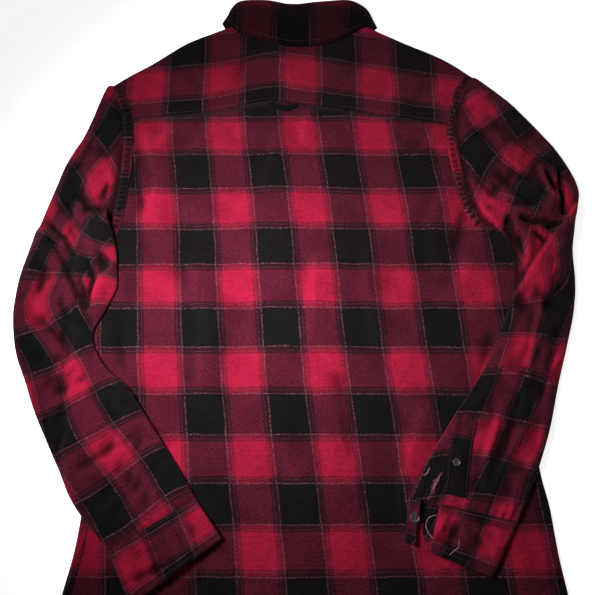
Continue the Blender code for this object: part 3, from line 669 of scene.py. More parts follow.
def sleeve_base(side, x, y):
    """The middle of a sleeve's lower layer: on the surface, or on the body's side where it crosses it."""
    edge = side_fold(side, np.minimum(y, PIT))
    inside = ease((34 - side * (x - edge)) / 22) * ease((124 - y) / 22)
    lift = LEFT_SLEEVE_LIFT * ease((-50 - y) / 60) if side < 0 else 0.0
    return mix(CLOTH / 2, over(x, y) + LAYER + 0.4 + lift, inside)


def sleeve_puff(side, x, y):
    """How far the upper layer stands above the flattened sleeve of the part."""
    folds = creases(LEFT_CREASES if side < 0 else RIGHT_CREASES, x, y)
    ruffle = 0.5 * np.sin(x / 6.1 + y / 11.0 + 1.5 * np.sin(y / 17)) + 0.4 * np.sin(y / 7.3 - x / 12.0)
    crumpled = 3.2 * ease((side * 20 + 236 - y) / 60) * ease((y + 90) / 90)
    small = 0.55 * np.sin(x / 3.4 - y / 5.2 + 1.7 * np.sin(x / 15)) * np.sin(y / 12.5 + x / 21)
    return 2.4 + crumpled + drape(x, y) + 1.1 * ruffle + small + folds


def cross_section(share):
    """A soft tube's height above its middle, 0 at its two folded edges and 1 over most of its width."""
    return (1 - np.abs(2 * share - 1) ** 7) ** 0.5


def spread_squares(squares, x, y):
    """The check over a sleeve, bent smoothly through the places of its squares."""
    known = np.array(squares, float)
    at, told = known[:, :2], known[:, 2:]

    def bend(a, b):
        gap = np.sum((a[:, None] - b[None]) ** 2, -1) + 1e-9
        return 0.5 * gap * np.log(gap)

    def level(a):
        return np.hstack([np.ones((len(a), 1)), a])

    count = len(known)
    system = np.zeros((count + 3, count + 3))
    system[:count, :count] = bend(at, at) + 60.0 * np.eye(count)
    system[:count, count:], system[count:, :count] = level(at), level(at).T
    weights = np.linalg.solve(system, np.vstack([told, np.zeros((3, 2))]))
    where = np.stack([x.ravel(), y.ravel()], 1)
    spread = bend(where, at) @ weights[:count] + level(where) @ weights[count:]
    return spread.reshape(*x.shape, 2)


def tube(side, rings, cells, spacing, puff=sleeve_puff, seam=True):
    """Points of a flattened tube by rows down the sleeve, its lower layer first.

    With them come the length down the sleeve and the width in from its outer fold at each point.
    """
    share = mix(np.linspace(0, 1, cells), 0.5 - 0.5 * np.cos(np.linspace(0, math.pi, cells)), 0.55)
    plan = np.array([ring(share) for ring in rings])
    middle = plan[:, :, cells // 2]
    down = np.concatenate([[0], np.cumsum(np.hypot(*(middle[1:] - middle[:-1]).T))])
    at = np.linspace(0, down[-1], int(down[-1] / spacing) + 1)
    x, y = smooth(down, plan[:, 0], at), smooth(down, plan[:, 1], at)
    high = cross_section(share)[None, :]
    risen = ease(at / 9)[:, None] if seam else 1.0
    base = mix(CLOTH / 2, sleeve_base(side, x, y), risen)
    gathers = 1.6 * puckers(y, 3.2) * ease((22 - at) / 20)[:, None] if seam else 0.0
    proud = puff(side, x, y) * risen + gathers
    if seam:
        # The end is gathered into small pleats and tucked into the cuff.
        left_over = down[-1] - at
        pleats = 2.4 * puckers(share * 110 + 7 * side, 4.2) * ease((30 - left_over) / 22)[:, None]
        proud = mix(-0.6, proud, ease(left_over / 16)[:, None]) + pleats * ease(left_over / 5)[:, None]
    proud = np.where(proud > 12, 12 + 5 * np.tanh((proud - 12) / 5), proud)
    top = base + FOLD + (FOLD + np.maximum(proud, -2.4)) * high
    if seam:
        top = mix(shoulder_face(x, y) + 0.3, top, ease(at / 14)[:, None])
    low = base + FOLD - FOLD * high
    low = low + (np.maximum(creases(UNDER_CREASES, x, y), 0) * high * risen if seam else 0.0)
    width = np.hypot(x[:, -1] - x[:, 0], y[:, -1] - y[:, 0])[:, None]
    points = np.concatenate([spot(x, y, low), spot(x, y, top)[:, -2:0:-1]], 1)
    return points, np.broadcast_to(at[:, None], x.shape), share * width


def section_ring(outer_x, outer_y, inner_x, inner_y):
    return lambda share: np.stack([mix(outer_x, inner_x, share), mix(outer_y, inner_y, share)])


def make_sleeve(name, side, sections, squares):
    end_y = armhole_end(side, shoulder) + FOLD

    def armhole_ring(out):
        return lambda share: np.stack(armhole(side, mix(end_y, PIT, share), out))

    last = np.array(sections[-1]) + 0.16 * (np.array(sections[-1]) - np.array(sections[-2]))
    rings = [armhole_ring(0.2), armhole_ring(9.0)]
    rings += [section_ring(*section) for section in (*sections, last)]
    cells = 66
    points = tube(side, rings, cells, 2.8)[0]
    shown = spread_squares(squares, points[:, :cells, 0], points[:, :cells, 1])
    check = np.concatenate([shown + [0.5, 0.0], shown[:, -2::-1]], 1)
    # Painted shadow in the deepest folds of the upper layer.
    extra_painted_shade = creases(LEFT_FOLD_SHADOWS if side < 0 else RIGHT_FOLD_SHADOWS, points[..., 0], points[..., 1])
    extra_painted_shade[:, :cells] = 0.0
    piece = sew(name, points, check, closed=True, extra_painted_shade=extra_painted_shade)
    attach(piece, "root")
    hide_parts(name.replace("_cloth", ""))
    return piece


sleeve_left = make_sleeve("sleeve_left_cloth", -1, LEFT_SLEEVE, LEFT_SQUARES)
sleeve_right = make_sleeve("sleeve_right_cloth", 1, RIGHT_SLEEVE, RIGHT_SQUARES)


# ---------------------------------------------------------------------------------------------------------
# The felled armhole seams. The body's edge is wrapped over the sleeve's and stitched down flat in two rows,
# about 12 wide, and the rows have drawn it up into a line of short pleats.

FELL_WIDTH = 12.5
FELL_STEP = 3.6  # from one pleat to the next
PLEAT_HEIGHT = 3.4


def fell_swell(inset):
    """How full a pleat is across the strip, 0 at the two rows of stitches and 1 between them."""
    return np.sin(math.pi * np.clip((inset - 1.5) / 9.5, 0, 1)) ** 0.7


def fell_face(side, y, inset):
    """A point on the felled strip, inset from the seam line on to the body."""
    x, y_in = armhole(side, y, -inset)
    body = shoulder_face(x, y_in)
    edge = 0.75 * ease((inset + 1.6) / 1.5) * ease((FELL_WIDTH + 0.4 - inset) / 1.2)
    pleats = PLEAT_HEIGHT * fell_swell(inset) * puckers(y, FELL_STEP)
    return spot(x, y_in, body + 0.25 + edge + pleats)


def make_fell(name, side):
    top = armhole_end(side, shoulder) - 2
    y = np.arange(PIT + (12 if side < 0 else 24), top, 1.0)
    inset = np.linspace(-1.4, FELL_WIDTH, 15)
    points = np.stack([fell_face(side, y, reach) for reach in inset], 1)
    check = body_check(points[..., 0], points[..., 1]) + [0.12 * side, 0.3]
    # Painted shade in the valleys between the pleats, most in the middle of the strip.
    extra_painted_shade = 0.42 * (1 - puckers(y, FELL_STEP))[:, None] * fell_swell(inset)[None, :]
    order = slice(None) if side < 0 else slice(None, None, -1)
    piece = sew(name, points[:, order], check[:, order], extra_painted_shade=extra_painted_shade[:, order])
    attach(piece, "root")
    return piece


fell_left = make_fell("armhole_fell_left", -1)
fell_right = make_fell("armhole_fell_right", 1)


# ---------------------------------------------------------------------------------------------------------
# The cuffs. Two layers of flannel on an interlining, felled over the gathered end of the sleeve and
# stitched along both edges. The left one is buttoned underneath. The right one is undone and lies open.

LEFT_CUFF = ((-213.2, -293.4, -118.2, -239.4), (-199, -321, -103, -260), (-184, -350, -87, -281))
RIGHT_CUFF = ((246.2, -263.5, 125.2, -237.5), (230, -293, 121, -261), (213, -322, 119, -285))
CUFF_OPENING = (0.74, 0.89)  # the open stretch of the right cuff's upper layer, from outer fold to inner
CUFF_CELLS = 60  # columns of points across a layer of the right cuff
CUFF_CLOTH = 1.5  # the thickness of a cuff's layer with its interlining
CUFF_CREASES = (
    (2.0, 4, 4, -206, -300, -196, -322), (2.0, 4, 5, -140, -256, -122, -284),
    (-1.8, 4, 4, -196, -330, -150, -308), (1.8, 4, 4, -128, -296, -104, -280),
    (2.2, 4, 5, 236, -276, 220, -300), (-2.0, 4, 4, 224, -268, 196, -260),
    (2.0, 4, 4, 196, -300, 176, -292), (2.2, 4, 4, 166, -254, 150, -280),
    (-2.0, 4, 4, 180, -262, 164, -290), (1.6, 7, 7, -196, -296, -178, -340),
    (1.4, 6, 6, -150, -262, -132, -306), (-1.2, 5, 5, -170, -290, -154, -320),
    (1.6, 6, 6, 226, -272, 208, -312), (1.4, 6, 6, 188, -256, 176, -300),
    (-1.2, 5, 5, 206, -262, 192, -304),
)


def cuff_puff(side, x, y):
    rumpled = 0.5 * np.sin(x / 3.1 + y / 7.0 + 1.3 * np.sin(y / 9.0)) + 0.4 * np.sin(y / 3.7 - x / 8.0)
    return 1.6 + 0.6 * drape(x, y) + 1.7 * creases(CUFF_CREASES, x, y) + rumpled


def cuff_top(side, x, y):
    """The upper face of a cuff's middle, away from its folds."""
    return sleeve_base(side, x, y) + 2 * FOLD + cuff_puff(side, x, y)


points, along, inward = tube(
    -1, [section_ring(*section) for section in LEFT_CUFF], 44, 2.6, puff=cuff_puff, seam=False)
shown = pair((inward - 22) / 87, (along - 27) / 76)
check = np.concatenate([shown + [0.4, 0], shown[:, -2::-1]], 1)
cuff_left = sew("cuff_left_cloth", points, check, closed=True, thickness=CUFF_CLOTH)

points, along, inward = tube(
    1, [section_ring(*section) for section in RIGHT_CUFF], CUFF_CELLS, 2.4, puff=cuff_puff, seam=False)
shown = pair((inward - 16) / 62, (along - 24) / 76)
# Painted shade: the check is shifted so that black lies on the lower layer under the opening, where the
# opening is in shade.
check = np.concatenate([shown + [0.16, 0.5], shown[:, -2::-1]], 1)
# The ring is cut open along the opening: it starts at its outer side and ends at its inner side.
upper = inward[len(inward) // 2] / inward[len(inward) // 2].max()
ring_share = np.concatenate([upper, upper[-2:0:-1]])
in_gap = (ring_share > CUFF_OPENING[0]) & (ring_share < CUFF_OPENING[1])
in_gap &= np.arange(len(ring_share)) >= CUFF_CELLS
start = np.where(in_gap)[0][-1] + 1
stop = np.where(in_gap)[0][0]
order = np.concatenate([np.arange(start, len(ring_share)), np.arange(0, stop)])
points, check = points[:, order], check[:, order]
# The two cut ends curl up a little.
curl = np.zeros(len(order))
curl[:7], curl[-5:] = np.linspace(1.6, 0, 7), np.linspace(0, 2.2, 5)
points[..., 2] += curl[None, :]
cuff_right = sew("cuff_right_cloth", points, check, thickness=CUFF_CLOTH)
for piece, node_name, size, cut in (
    (cuff_left, "cuff_left", (0.24, 0.067), 0.0146), (cuff_right, "cuff_right", (0.24, 0.065), 0.0125)
):
    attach(piece, "root")
    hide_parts(node_name)


# ---------------------------------------------------------------------------------------------------------
# The sleeve plackets. A folded strip of flannel binds each sleeve's slit above the cuff. The right one is
# stitched down in a box with an arched upper end and holds a small button. The left one lies below.

# Columns: left X, Y and right X, Y of a sleeve placket's sections.
RIGHT_PLACKET = ((184, -142, 209, -146), (173, -188, 198, -193), (164, -233, 189, -239))
LEFT_PLACKET = ((-236, -150, -214, -136), (-210, -188, -188, -174), (-186, -226, -164, -212))


def on_right_sleeve(x, y):
    return sleeve_base(1, x, y) + 2 * FOLD + sleeve_puff(1, x, y)


def below_left_sleeve(x, y):
    return sleeve_base(-1, x, y) - LAYER - 0.3


def strip_points(sections, rows, columns, height, arch=0.0):
    """Points of a strip between two edges given by sections, its upper end rounded off by an arch."""
    table = np.array(sections, float)
    at = np.linspace(0, len(table) - 1, rows)
    left_x, left_y, right_x, right_y = smooth(np.arange(len(table)), table, at).T
    share = np.linspace(0, 1, columns)
    x = mix(left_x[:, None], right_x[:, None], share)
    y = mix(left_y[:, None], right_y[:, None], share)
    bow = arch * (2 * share - 1) ** 2 * ease(1 - at / 0.5)[:, None]
    down = np.array([table[-1, 0] - table[0, 0], table[-1, 1] - table[0, 1]])
    down = down / np.hypot(*down)
    x, y = x + bow * down[0], y + bow * down[1]
    return spot(x, y, height(x, y)), at[:, None] + 0 * x, share[None, :] + 0 * x


points, at, share = strip_points(RIGHT_PLACKET, 56, 16, lambda x, y: on_right_sleeve(x, y) + 0.75, 9.0)
ridge = 0.5 * np.sin(math.pi * share) - 0.45 * np.exp(-(((share - 0.14) / 0.07) ** 2))
ridge -= 0.45 * np.exp(-(((share - 0.86) / 0.07) ** 2))
points[..., 2] += ridge + 0.8 * puckers(points[..., 1], 4.0) * np.exp(-(((share - 0.5) / 0.42) ** 6))
check = pair(0.44 + share * 0.12, 0.08 + 0.4 * ease((at - 0.35) / 0.5))
placket_right = sew("sleeve_placket_right_cloth", points, check)
points, at, share = strip_points(LEFT_PLACKET, 24, 8, below_left_sleeve)
placket_left = sew("sleeve_placket_left_cloth", points, pair(0.5 + share * 0.22, at * 0.45))
for piece, node_name, rest in (
    (placket_right, "sleeve_placket_right", "sleeve_right"), (placket_left, "sleeve_placket_left", "back")
):
    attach(piece, "root")
    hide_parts(node_name)


# ---------------------------------------------------------------------------------------------------------
# The collar. A stand is sewn round the neck and a pointed leaf is sewn to its upper edge, rolled over and
# pressed down on the yoke. Both are two layers of flannel on an interlining, and the leaf is edge-stitched.

# Columns: X, Y of the collar stand's neck seam; X, Y of its roll; height of its middle.
STAND = (
    (14, 323, 14, 356, 4.6), (-20, 325, -20, 359, 4.6), (-46, 336, -52, 371, 2.3),
    (-66, 357, -78, 390, 2.1), (-71.4, 381, -86, 404, 2.1), (-82, 402.5, -94, 418, 2.1),
    (-86, 408.4, -97, 423, 4.9), (-83, 406.6, -90, 431, 7.8), (-45, 400.4, -46, 431, 8.8),
    (0, 397.4, 0, 430, 8.8), (45, 400.4, 46, 432, 8.8), (83, 406.6, 90, 432, 7.8),
    (86, 408.4, 97, 423, 4.9), (82, 402.5, 94, 418, 2.1), (71.4, 381, 86, 404, 2.1),
    (65, 356, 77, 390, 2.1), (46, 336, 52, 371, 2.7), (20, 325, 20, 359, 6.1), (-14, 323, -14, 356, 6.1),
)
LEAF_COLUMNS, LEAF_ROWS, ROLL_ROWS = 210, 26, 6  # points round the neck, down the fall and over the roll
LEAF_CLOTH = 1.7  # the thickness of the leaf's two layers and interlining
# Columns: X, Y, Z of the collar leaf's roll; X, Y, Z of its free edge.
LEAF = (
    (-12, 358, 0.6, -62, 300, 0.6), (-56, 375, 0.6, -84, 318, 0.6), (-86, 396, 0.6, -102, 352, 0.6),
    (-94, 410, 0.6, -106, 388, 0.6), (-99, 418, 0.6, -108, 405, 0.6), (-102, 424, 5.0, -111, 411, 4.6),
    (-98, 430, 11.5, -102, 409, 10.4), (-84, 438, 15.5, -86, 389, 11.6), (-48, 438, 18.0, -50, 376, 13.0),
    (-13, 430, 19.0, -12, 365, 13.4), (28, 434, 19.0, 34, 369, 13.4), (68, 439, 17.0, 74, 390, 12.6),
    (92, 431, 12.5, 98, 403, 10.8), (102, 423, 5.0, 110, 404, 4.6), (99, 418, 0.6, 107, 402, 0.6),
    (94, 409, 0.6, 106, 386, 0.6), (86, 396, 0.6, 102, 352, 0.6), (56, 375, 0.6, 84, 318, 0.6),
    (12, 358, 0.6, 62, 300, 0.6),
)

rows = np.array(STAND, float)
front = (np.abs(rows[:, 0]) < 70) & (rows[:, 4] < 7)
rows[front, 1] = read(FRONT_NECK, np.abs(rows[front, 0])) + 4 * SEAM
at = np.linspace(0, len(rows) - 1, 150)
neck_x, neck_y, roll_x, roll_y, stand_z = smooth(np.arange(len(rows)), rows, at).T
up = np.linspace(0, 1, 9)
x, y = mix(neck_x[:, None], roll_x[:, None], up), mix(neck_y[:, None], roll_y[:, None], up)
check = pair(at[:, None] * 0.28 + 0.4, 0.36 + up * 0.3)
stand = sew("collar_stand_cloth", spot(x, y, stand_z[:, None]), check, thickness=1.4)

rows = np.array(LEAF, float)
at = np.linspace(0, len(rows) - 1, LEAF_COLUMNS)
columns = smooth(np.arange(len(rows)), rows, at).T[..., None]
roll_x, roll_y, roll_z, edge_x, edge_y, edge_z = columns
fall = np.linspace(0, 1, LEAF_ROWS)[None, :]
puff = (roll_z - edge_z) * 0.5 * np.sin(math.pi * fall)
x, y = mix(roll_x, edge_x, fall), mix(roll_y, edge_y, fall)
shown_side = ease((mix(roll_z, edge_z, fall) - 6) / 4)
wave = 0.8 * np.sin(x / 15 + 0.5) + 0.6 * np.sin(x / 8.3 + y / 12) + 1.2 * np.exp(-(((x + 11) / 7) ** 2))
wave = shown_side * wave * np.sin(math.pi * fall * 0.75 + 0.4)
points = spot(x, y, mix(roll_z, edge_z, fall) + puff + wave)
# The roll itself: a small turn before the fall begins, down towards the stand.
length = np.hypot(roll_x - edge_x, roll_y - edge_y)
out_x, out_y = (roll_x - edge_x) / length, (roll_y - edge_y) / length
turn = np.linspace(1.9, 0, ROLL_ROWS + 1)[None, :-1]
radius = 0.5 + 2.6 * ease((roll_z - 3) / 10)
curled = spot(
    roll_x + out_x * radius * np.sin(turn), roll_y + out_y * radius * np.sin(turn),
    np.maximum(points[:, :1, 2] - radius * (1 - np.cos(turn)), 0.6))
points = np.concatenate([curled, points], 1)
check = pair((points[..., 0] - 42) / 103, 0.08 + 0.54 * ease((443 - points[..., 1]) / 40))
# The collar's flannel is a darker copy: its colour is cut to a fifth as painted shade under and round the
# rolled collar, and its nap is flatter.
collar_painted_shade_flannel = brushed_check("collar_check_painted_shade", tone_and_painted_shade=0.20, nap=0.5)
leaf = sew("collar_leaf_cloth", points, check, collar_painted_shade_flannel, thickness=LEAF_CLOTH)
for piece, node_name, size, cut in (
    (stand, "collar_stand", (0.44, 0.036), 0.0112), (leaf, "collar_leaf", (0.46, 0.078), 0.0265)
):
    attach(piece, "root")
    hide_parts(node_name)


# ---------------------------------------------------------------------------------------------------------
# The front placket. The left front's edge is a strip of flannel, folded under and stitched along both
# sides. It lies below, on the surface side of the fronts, and carries the front buttons' buttonholes.

length_y = np.linspace(HEM_CENTRE + 2, float(read(FRONT_NECK, 0)) - 1, 180)
x = np.linspace(-PLACKET_HALF, PLACKET_HALF, 10)[None, :]
y = length_y[:, None] + 0 * x
z = CLOTH / 2 + LEFT_RISE - LAYER + 0 * y + 0.15 * np.sin(y / 7) * np.cos(x / 12)
placket = sew("front_placket_cloth", spot(x, y, z), pair((x - 20) / 100 + 0 * y, read(BACK_BANDS, y)))
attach(placket, "root")
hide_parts("front_placket")


# ---------------------------------------------------------------------------------------------------------
# The locker loop. A black tape of the same weight as the flannel, with both ends caught in the yoke seam.
# It hangs a little way down the back.

LOCKER_LOOP = (-45, -1, 8.5, 15)  # X of its two ends, width of the tape, how far its middle hangs

black_tape = brushed_check("black_tape", tone_and_painted_shade=0.9)
left_x, right_x, tape, hang = LOCKER_LOOP
share = np.linspace(0, 1, 48)
x = mix(left_x + tape / 2, right_x - tape / 2, share)
y = yoke_seam(x) - 1.5 - (hang - tape / 2) * np.sin(math.pi * share) ** 0.8
ahead = np.stack([np.gradient(x), np.gradient(y)], 1)
ahead /= np.hypot(*ahead.T)[:, None]
aside = np.linspace(-tape / 2, tape / 2, 7)[None, :]
x, y = x[:, None] + aside * ahead[:, 1:], y[:, None] - aside * ahead[:, :1]
raised = 1.0 + 1.4 * np.sin(math.pi * share)[:, None] + 0.35 * np.cos(aside / tape * 2 * math.pi)
check = pair(0.5 + aside * 0.002 + 0 * x, 0.5 + share[:, None] * 0.05)
loop = sew("locker_loop_tape", spot(x, y, face(x, y) + raised), check, black_tape)
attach(loop, "root")
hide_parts("locker_loop")


# ---------------------------------------------------------------------------------------------------------
# The buttons. Turned dark plastic with a raised rim, a dished face and four holes, sewn on with two bars
# of dark red thread. Seven close the front, one the stand and two the cuffs. A smaller one is on the right
# sleeve's placket.

BUTTON, SMALL_BUTTON, BUTTON_DEPTH = 11.4, 9.0, 2.1
FRONT_BUTTONS = (291, 198, 105, 12, -81, -174, -267)  # Y of each
STAND_BUTTON = (0, 340)
RIGHT_PLACKET_BUTTON, RIGHT_CUFF_BUTTON = (180, -199), (129, -259)
LEFT_CUFF_BUTTON = (-140, -282)


def speckle(tree, scale, detail=2.0):
    """Fine noise that is fixed to the piece."""
    links = {"Scale": scale, "Detail": detail}
    links["Vector"] = node(tree, "ShaderNodeTexCoord").outputs["Object"]
    return node(tree, "ShaderNodeTexNoise", links).outputs["Fac"]


turned_plastic, tree, shader = material("turned_plastic")
marble = speckle(tree, 420.0, 3.0)
plastic = ramp(tree, marble, ((0.3, (0.016, 0.016, 0.02)), (0.7, (0.045, 0.043, 0.05))))
tree.links.new(plastic, shader.inputs["Base Color"])
scratches = speckle(tree, 2600.0)
tree.links.new(ramp(tree, scratches, ((0.3, 0.34), (0.8, 0.50))), shader.inputs["Roughness"])
shader.inputs["Specular IOR Level"].default_value = 0.32
shader.inputs["Coat Weight"].default_value = 0.08
shader.inputs["Coat Roughness"].default_value = 0.3
links = {"Strength": 0.15, "Distance": 0.0001, "Height": scratches}
tree.links.new(node(tree, "ShaderNodeBump", links).outputs[0], shader.inputs["Normal"])


def spun_thread(name, dark, light, scale, roughness, bump=True):
    """Twisted thread, darker between its plies."""
    made, tree, shader = material(name)
    twist = speckle(tree, scale)
    tree.links.new(ramp(tree, twist, ((0.3, dark), (0.7, light))), shader.inputs["Base Color"])
    shader.inputs["Roughness"].default_value = roughness
    if bump:
        links = {"Strength": 0.4, "Distance": 0.0001, "Height": twist}
        tree.links.new(node(tree, "ShaderNodeBump", links).outputs[0], shader.inputs["Normal"])
    return made


red_thread = spun_thread("red_thread", (0.03, 0.006, 0.01), (0.09, 0.01, 0.02), 2200.0, 0.7)


def turned_button(name, x, y, z, width, flip=False, tilt=(0.0, 0.0)):
    """A button whose lowest point is at Z, with four holes through it and two bars of thread in them."""
    segments, radius = 48, width / 2
    # Columns: share of the radius, share of the depth, from the middle of the back round to the face's.
    profile = (
        (0.60, 0.02), (0.82, 0.0), (0.95, 0.12), (1.0, 0.35), (1.0, 0.62), (0.97, 0.85), (0.91, 0.97),
        (0.84, 1.0), (0.76, 0.95), (0.68, 0.80), (0.60, 0.70),
    )
    holes = [(0.22 * sx, 0.22 * sy) for sx, sy in ((1, 1), (-1, 1), (-1, -1), (1, -1))]
    hole, ring = 0.105, 12
    vertices, faces = [], []
    for reach, up in profile:
        for i in range(segments):
            angle = 2 * math.pi * i / segments
            vertices.append((reach * math.cos(angle), reach * math.sin(angle), up))
    for level in range(len(profile) - 1):
        for i in range(segments):
            a, b = level * segments + i, level * segments + (i + 1) % segments
            faces.append((a, b, b + segments, a + segments))
    # Each quarter of the face and of the back runs from the middle and the rim to its own hole.
    for up, level, flip_face in ((0.66, len(profile) - 1, False), (0.04, 0, True)):
        middle = len(vertices)
        vertices.append((0, 0, up))
        for quarter in range(4):
            first = len(vertices)
            hx, hy = holes[quarter]
            for k in range(ring):
                angle = math.pi / 4 + quarter * math.pi / 2 - math.pi + 2 * math.pi * k / ring
                vertices.append((hx + hole * math.cos(angle), hy + hole * math.sin(angle), up))
            start, half = quarter * segments // 4, segments // 8
            rim = [level * segments + (start + j) % segments for j in range(2 * half + 1)]
            # One half of the hole's ring faces the clockwise side of the quarter, the other its other side.
            lower = [first + k for k in range(ring // 2 + 1)]
            upper = [first + k % ring for k in range(ring // 2, ring + 1)]
            made = [[middle] + rim[:half + 1] + lower[::-1], [middle] + upper[::-1] + rim[half:]]
            faces += [tuple(reversed(f)) if flip_face else tuple(f) for f in made]
    # The holes' walls, from the face to the back.
    front_first = len(profile) * segments + 1
    back_first = front_first + 1 + 4 * ring
    for quarter in range(4):
        for k in range(ring):
            a, b = quarter * ring + k, quarter * ring + (k + 1) % ring
            faces.append((back_first + b, back_first + a, front_first + a, front_first + b))
    sign = -1 if flip else 1
    placed = []
    for vx, vy, vz in vertices:
        height = (1 - vz if flip else vz) * BUTTON_DEPTH + (vx * tilt[0] + vy * tilt[1]) * radius
        placed.append((x + vx * radius - MIDDLE[0], y + sign * vy * radius - MIDDLE[1], z + height))
    button = solid(name, (np.array(placed) * MM).tolist(), faces, turned_plastic)
    button.data.set_sharp_from_angle(angle=math.radians(42))
    bars = []
    for sx in (-1, 1):
        bar = []
        for share in np.linspace(-1, 1, 9):
            up = 0.66 + 0.26 * math.cos(share * math.pi / 2) ** 0.5 - (0.3 if abs(share) == 1 else 0)
            height = (1 - up if flip else up) * BUTTON_DEPTH
            bar.append((x + 0.22 * sx * radius, y + share * 0.24 * radius, z + height))
        bars.append(bar)
    return button, bars


def thread_curve(name, runs, width, finish):
    """Lengths of thread laid along runs of points."""
    made = bpy.data.curves.new(name, "CURVE")
    made.dimensions = "3D"
    made.bevel_depth = width / 2 * MM
    made.bevel_resolution = 2
    for run in runs:
        spline = made.splines.new("POLY")
        spline.points.add(len(run) - 1)
        for point, (x, y, z) in zip(spline.points, run):
            point.co = ((x - MIDDLE[0]) * MM, (y - MIDDLE[1]) * MM, z * MM, 1)
    made.materials.append(finish)
    piece = bpy.data.objects.new(name, made)
    bpy.context.scene.collection.objects.link(piece)
    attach(piece, "root")
    return piece


sewn = [(f"front_button_{number}", 0, y, 0.05, BUTTON, True) for number, y in enumerate(FRONT_BUTTONS, 1)]
sewn.append(("stand_button", *STAND_BUTTON, 0.05, BUTTON, True))
x, y = LEFT_CUFF_BUTTON
sewn.append(("cuff_button_left", x, y, float(over(x, y)) + CLOTH / 2 + 0.6, BUTTON, True))
x, y = RIGHT_PLACKET_BUTTON
sewn.append(("placket_button_right", x, y, float(on_right_sleeve(x, y)) + 1.9, SMALL_BUTTON, False))
x, y = RIGHT_CUFF_BUTTON
sewn.append(("cuff_button_right", x, y, float(cuff_top(1, x, y)) + 0.6, BUTTON, False))
bars = []
for name, x, y, z, width, flip in sewn:
    tilt = (0.06, -0.05) if not flip else (0.0, 0.0)
    shown_name = name.replace("_button", "_turned_button")
    button, sewn_on = turned_button(shown_name, x, y, z, width, flip, tilt)
    bars += sewn_on
    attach(button, "root")
    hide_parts(name)
button_threads = thread_curve("button_threads", bars, 0.75, red_thread)


# ---------------------------------------------------------------------------------------------------------
# The topstitching. Dark red polyester thread in lockstitch, about eight stitches to 25 mm, along the yoke
# seam, both rows of each felled seam, the cuffs, the right sleeve's placket and the collar's edge.

STITCH, PITCH, THREAD = 2.5, 3.3, 0.55  # length of a stitch, from one to the next, thickness of the thread

dark_thread = spun_thread("dark_thread", (0.022, 0.008, 0.012), (0.075, 0.014, 0.026), 1500.0, 0.6)


def stitch_rows(name, runs):
    """One mesh of the stitches along runs of points on the cloth's upper face."""
    along = np.array([-0.5, -0.32, 0.0, 0.32, 0.5])
    girth = np.array([0.3, 0.9, 1.0, 0.9, 0.3])
    bow = np.array([-0.55, 0.1, 0.35, 0.1, -0.55])
    corner = np.array([(0.5, 0.0), (0.0, 0.5), (-0.5, 0.0), (0.0, -0.5)])
    vertices, faces = [], []
    for run in runs:
        run = np.array(run, float)
        gone = np.concatenate([[0], np.cumsum(np.linalg.norm(np.diff(run, axis=0), axis=1))])
        starts = np.arange(PITCH / 2, gone[-1] - STITCH / 2, PITCH)
        for start in starts:
            low, middle, high = (
                np.array([np.interp(start + off, gone, run[:, axis]) for axis in range(3)])
                for off in (-STITCH / 2, 0, STITCH / 2))
            ahead = (high - low) / np.linalg.norm(high - low)
            sideways = np.cross((0, 0, 1), ahead)
            sideways /= np.linalg.norm(sideways)
            upward = np.cross(ahead, sideways)
            first = len(vertices)
            for a, g, b in zip(along, girth, bow):
                centre = middle + ahead * a * STITCH + upward * b * THREAD
                for across, up in corner:
                    point = centre + (sideways * across + upward * up) * g * THREAD
                    vertices.append(tuple((point - [*MIDDLE, 0.0]) * MM))
            for level in range(4):
                for k in range(4):
                    a, b = first + level * 4 + k, first + level * 4 + (k + 1) % 4
                    faces.append((a, b, b + 4, a + 4))
            faces += [tuple(first + k for k in (3, 2, 1, 0)), tuple(first + 16 + k for k in range(4))]
    piece = solid(name, vertices, faces, dark_thread)
    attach(piece, "root")


STANDS = 0.12  # how far the middle of a stitch stands above the cloth's upper face
TOP = FLANNEL / 2 + STANDS  # from the cloth's middle to a stitch on it
x = np.linspace(-240, 212, 300)
yoke_run = spot(x, yoke_seam(x) + 3.2, 0)
yoke_run[:, 2] = shoulder_face(yoke_run[:, 0], yoke_run[:, 1]) + 0.35 + TOP
fell_runs = []
for side in (-1, 1):
    top = armhole_end(side, shoulder) - 3
    y = np.arange(PIT + (14 if side < 0 else 26), top, 1.5)
    for inset in (1.6, 11.0):
        run = fell_face(side, y, inset)
        run[:, 2] += TOP
        fell_runs.append(run)
y = np.arange(HEM_SIDE + 4, PIT - 60, 1.5)
for inset in (3.0, SIDE_TURN - 1.5):
    x = side_fold(-1, y) + inset
    fell_runs.append(spot(x, y, face(x, y) + 1.2 + TOP))
stitch_rows("yoke_stitches", [yoke_run])
stitch_rows("fell_stitches", fell_runs)


def cuff_run(side, cuff, down, first, last):
    """A row of stitches across a cuff's upper face, a share of the way down it."""
    share = np.linspace(first, last, 80)
    table = np.array(cuff, float)
    outer_x, outer_y, inner_x, inner_y = smooth(np.arange(3), table, np.array([2 * down]))[0]
    x, y = mix(outer_x, inner_x, share), mix(outer_y, inner_y, share)
    high = sleeve_base(side, x, y) + FOLD + (FOLD + cuff_puff(side, x, y)) * cross_section(share)
    return spot(x, y, high + CUFF_CLOTH / 2 + STANDS)


cuff_runs = [cuff_run(-1, LEFT_CUFF, down, 0.02, 0.98) for down in (0.05, 0.13, 0.92)]
for down in (0.05, 0.13, 0.90):
    for first, last in ((0.02, CUFF_OPENING[0] - 0.03), (CUFF_OPENING[1] + 0.02, 0.98)):
        cuff_runs.append(cuff_run(1, RIGHT_CUFF, down, first, last))
stitch_rows("cuff_stitches", cuff_runs)

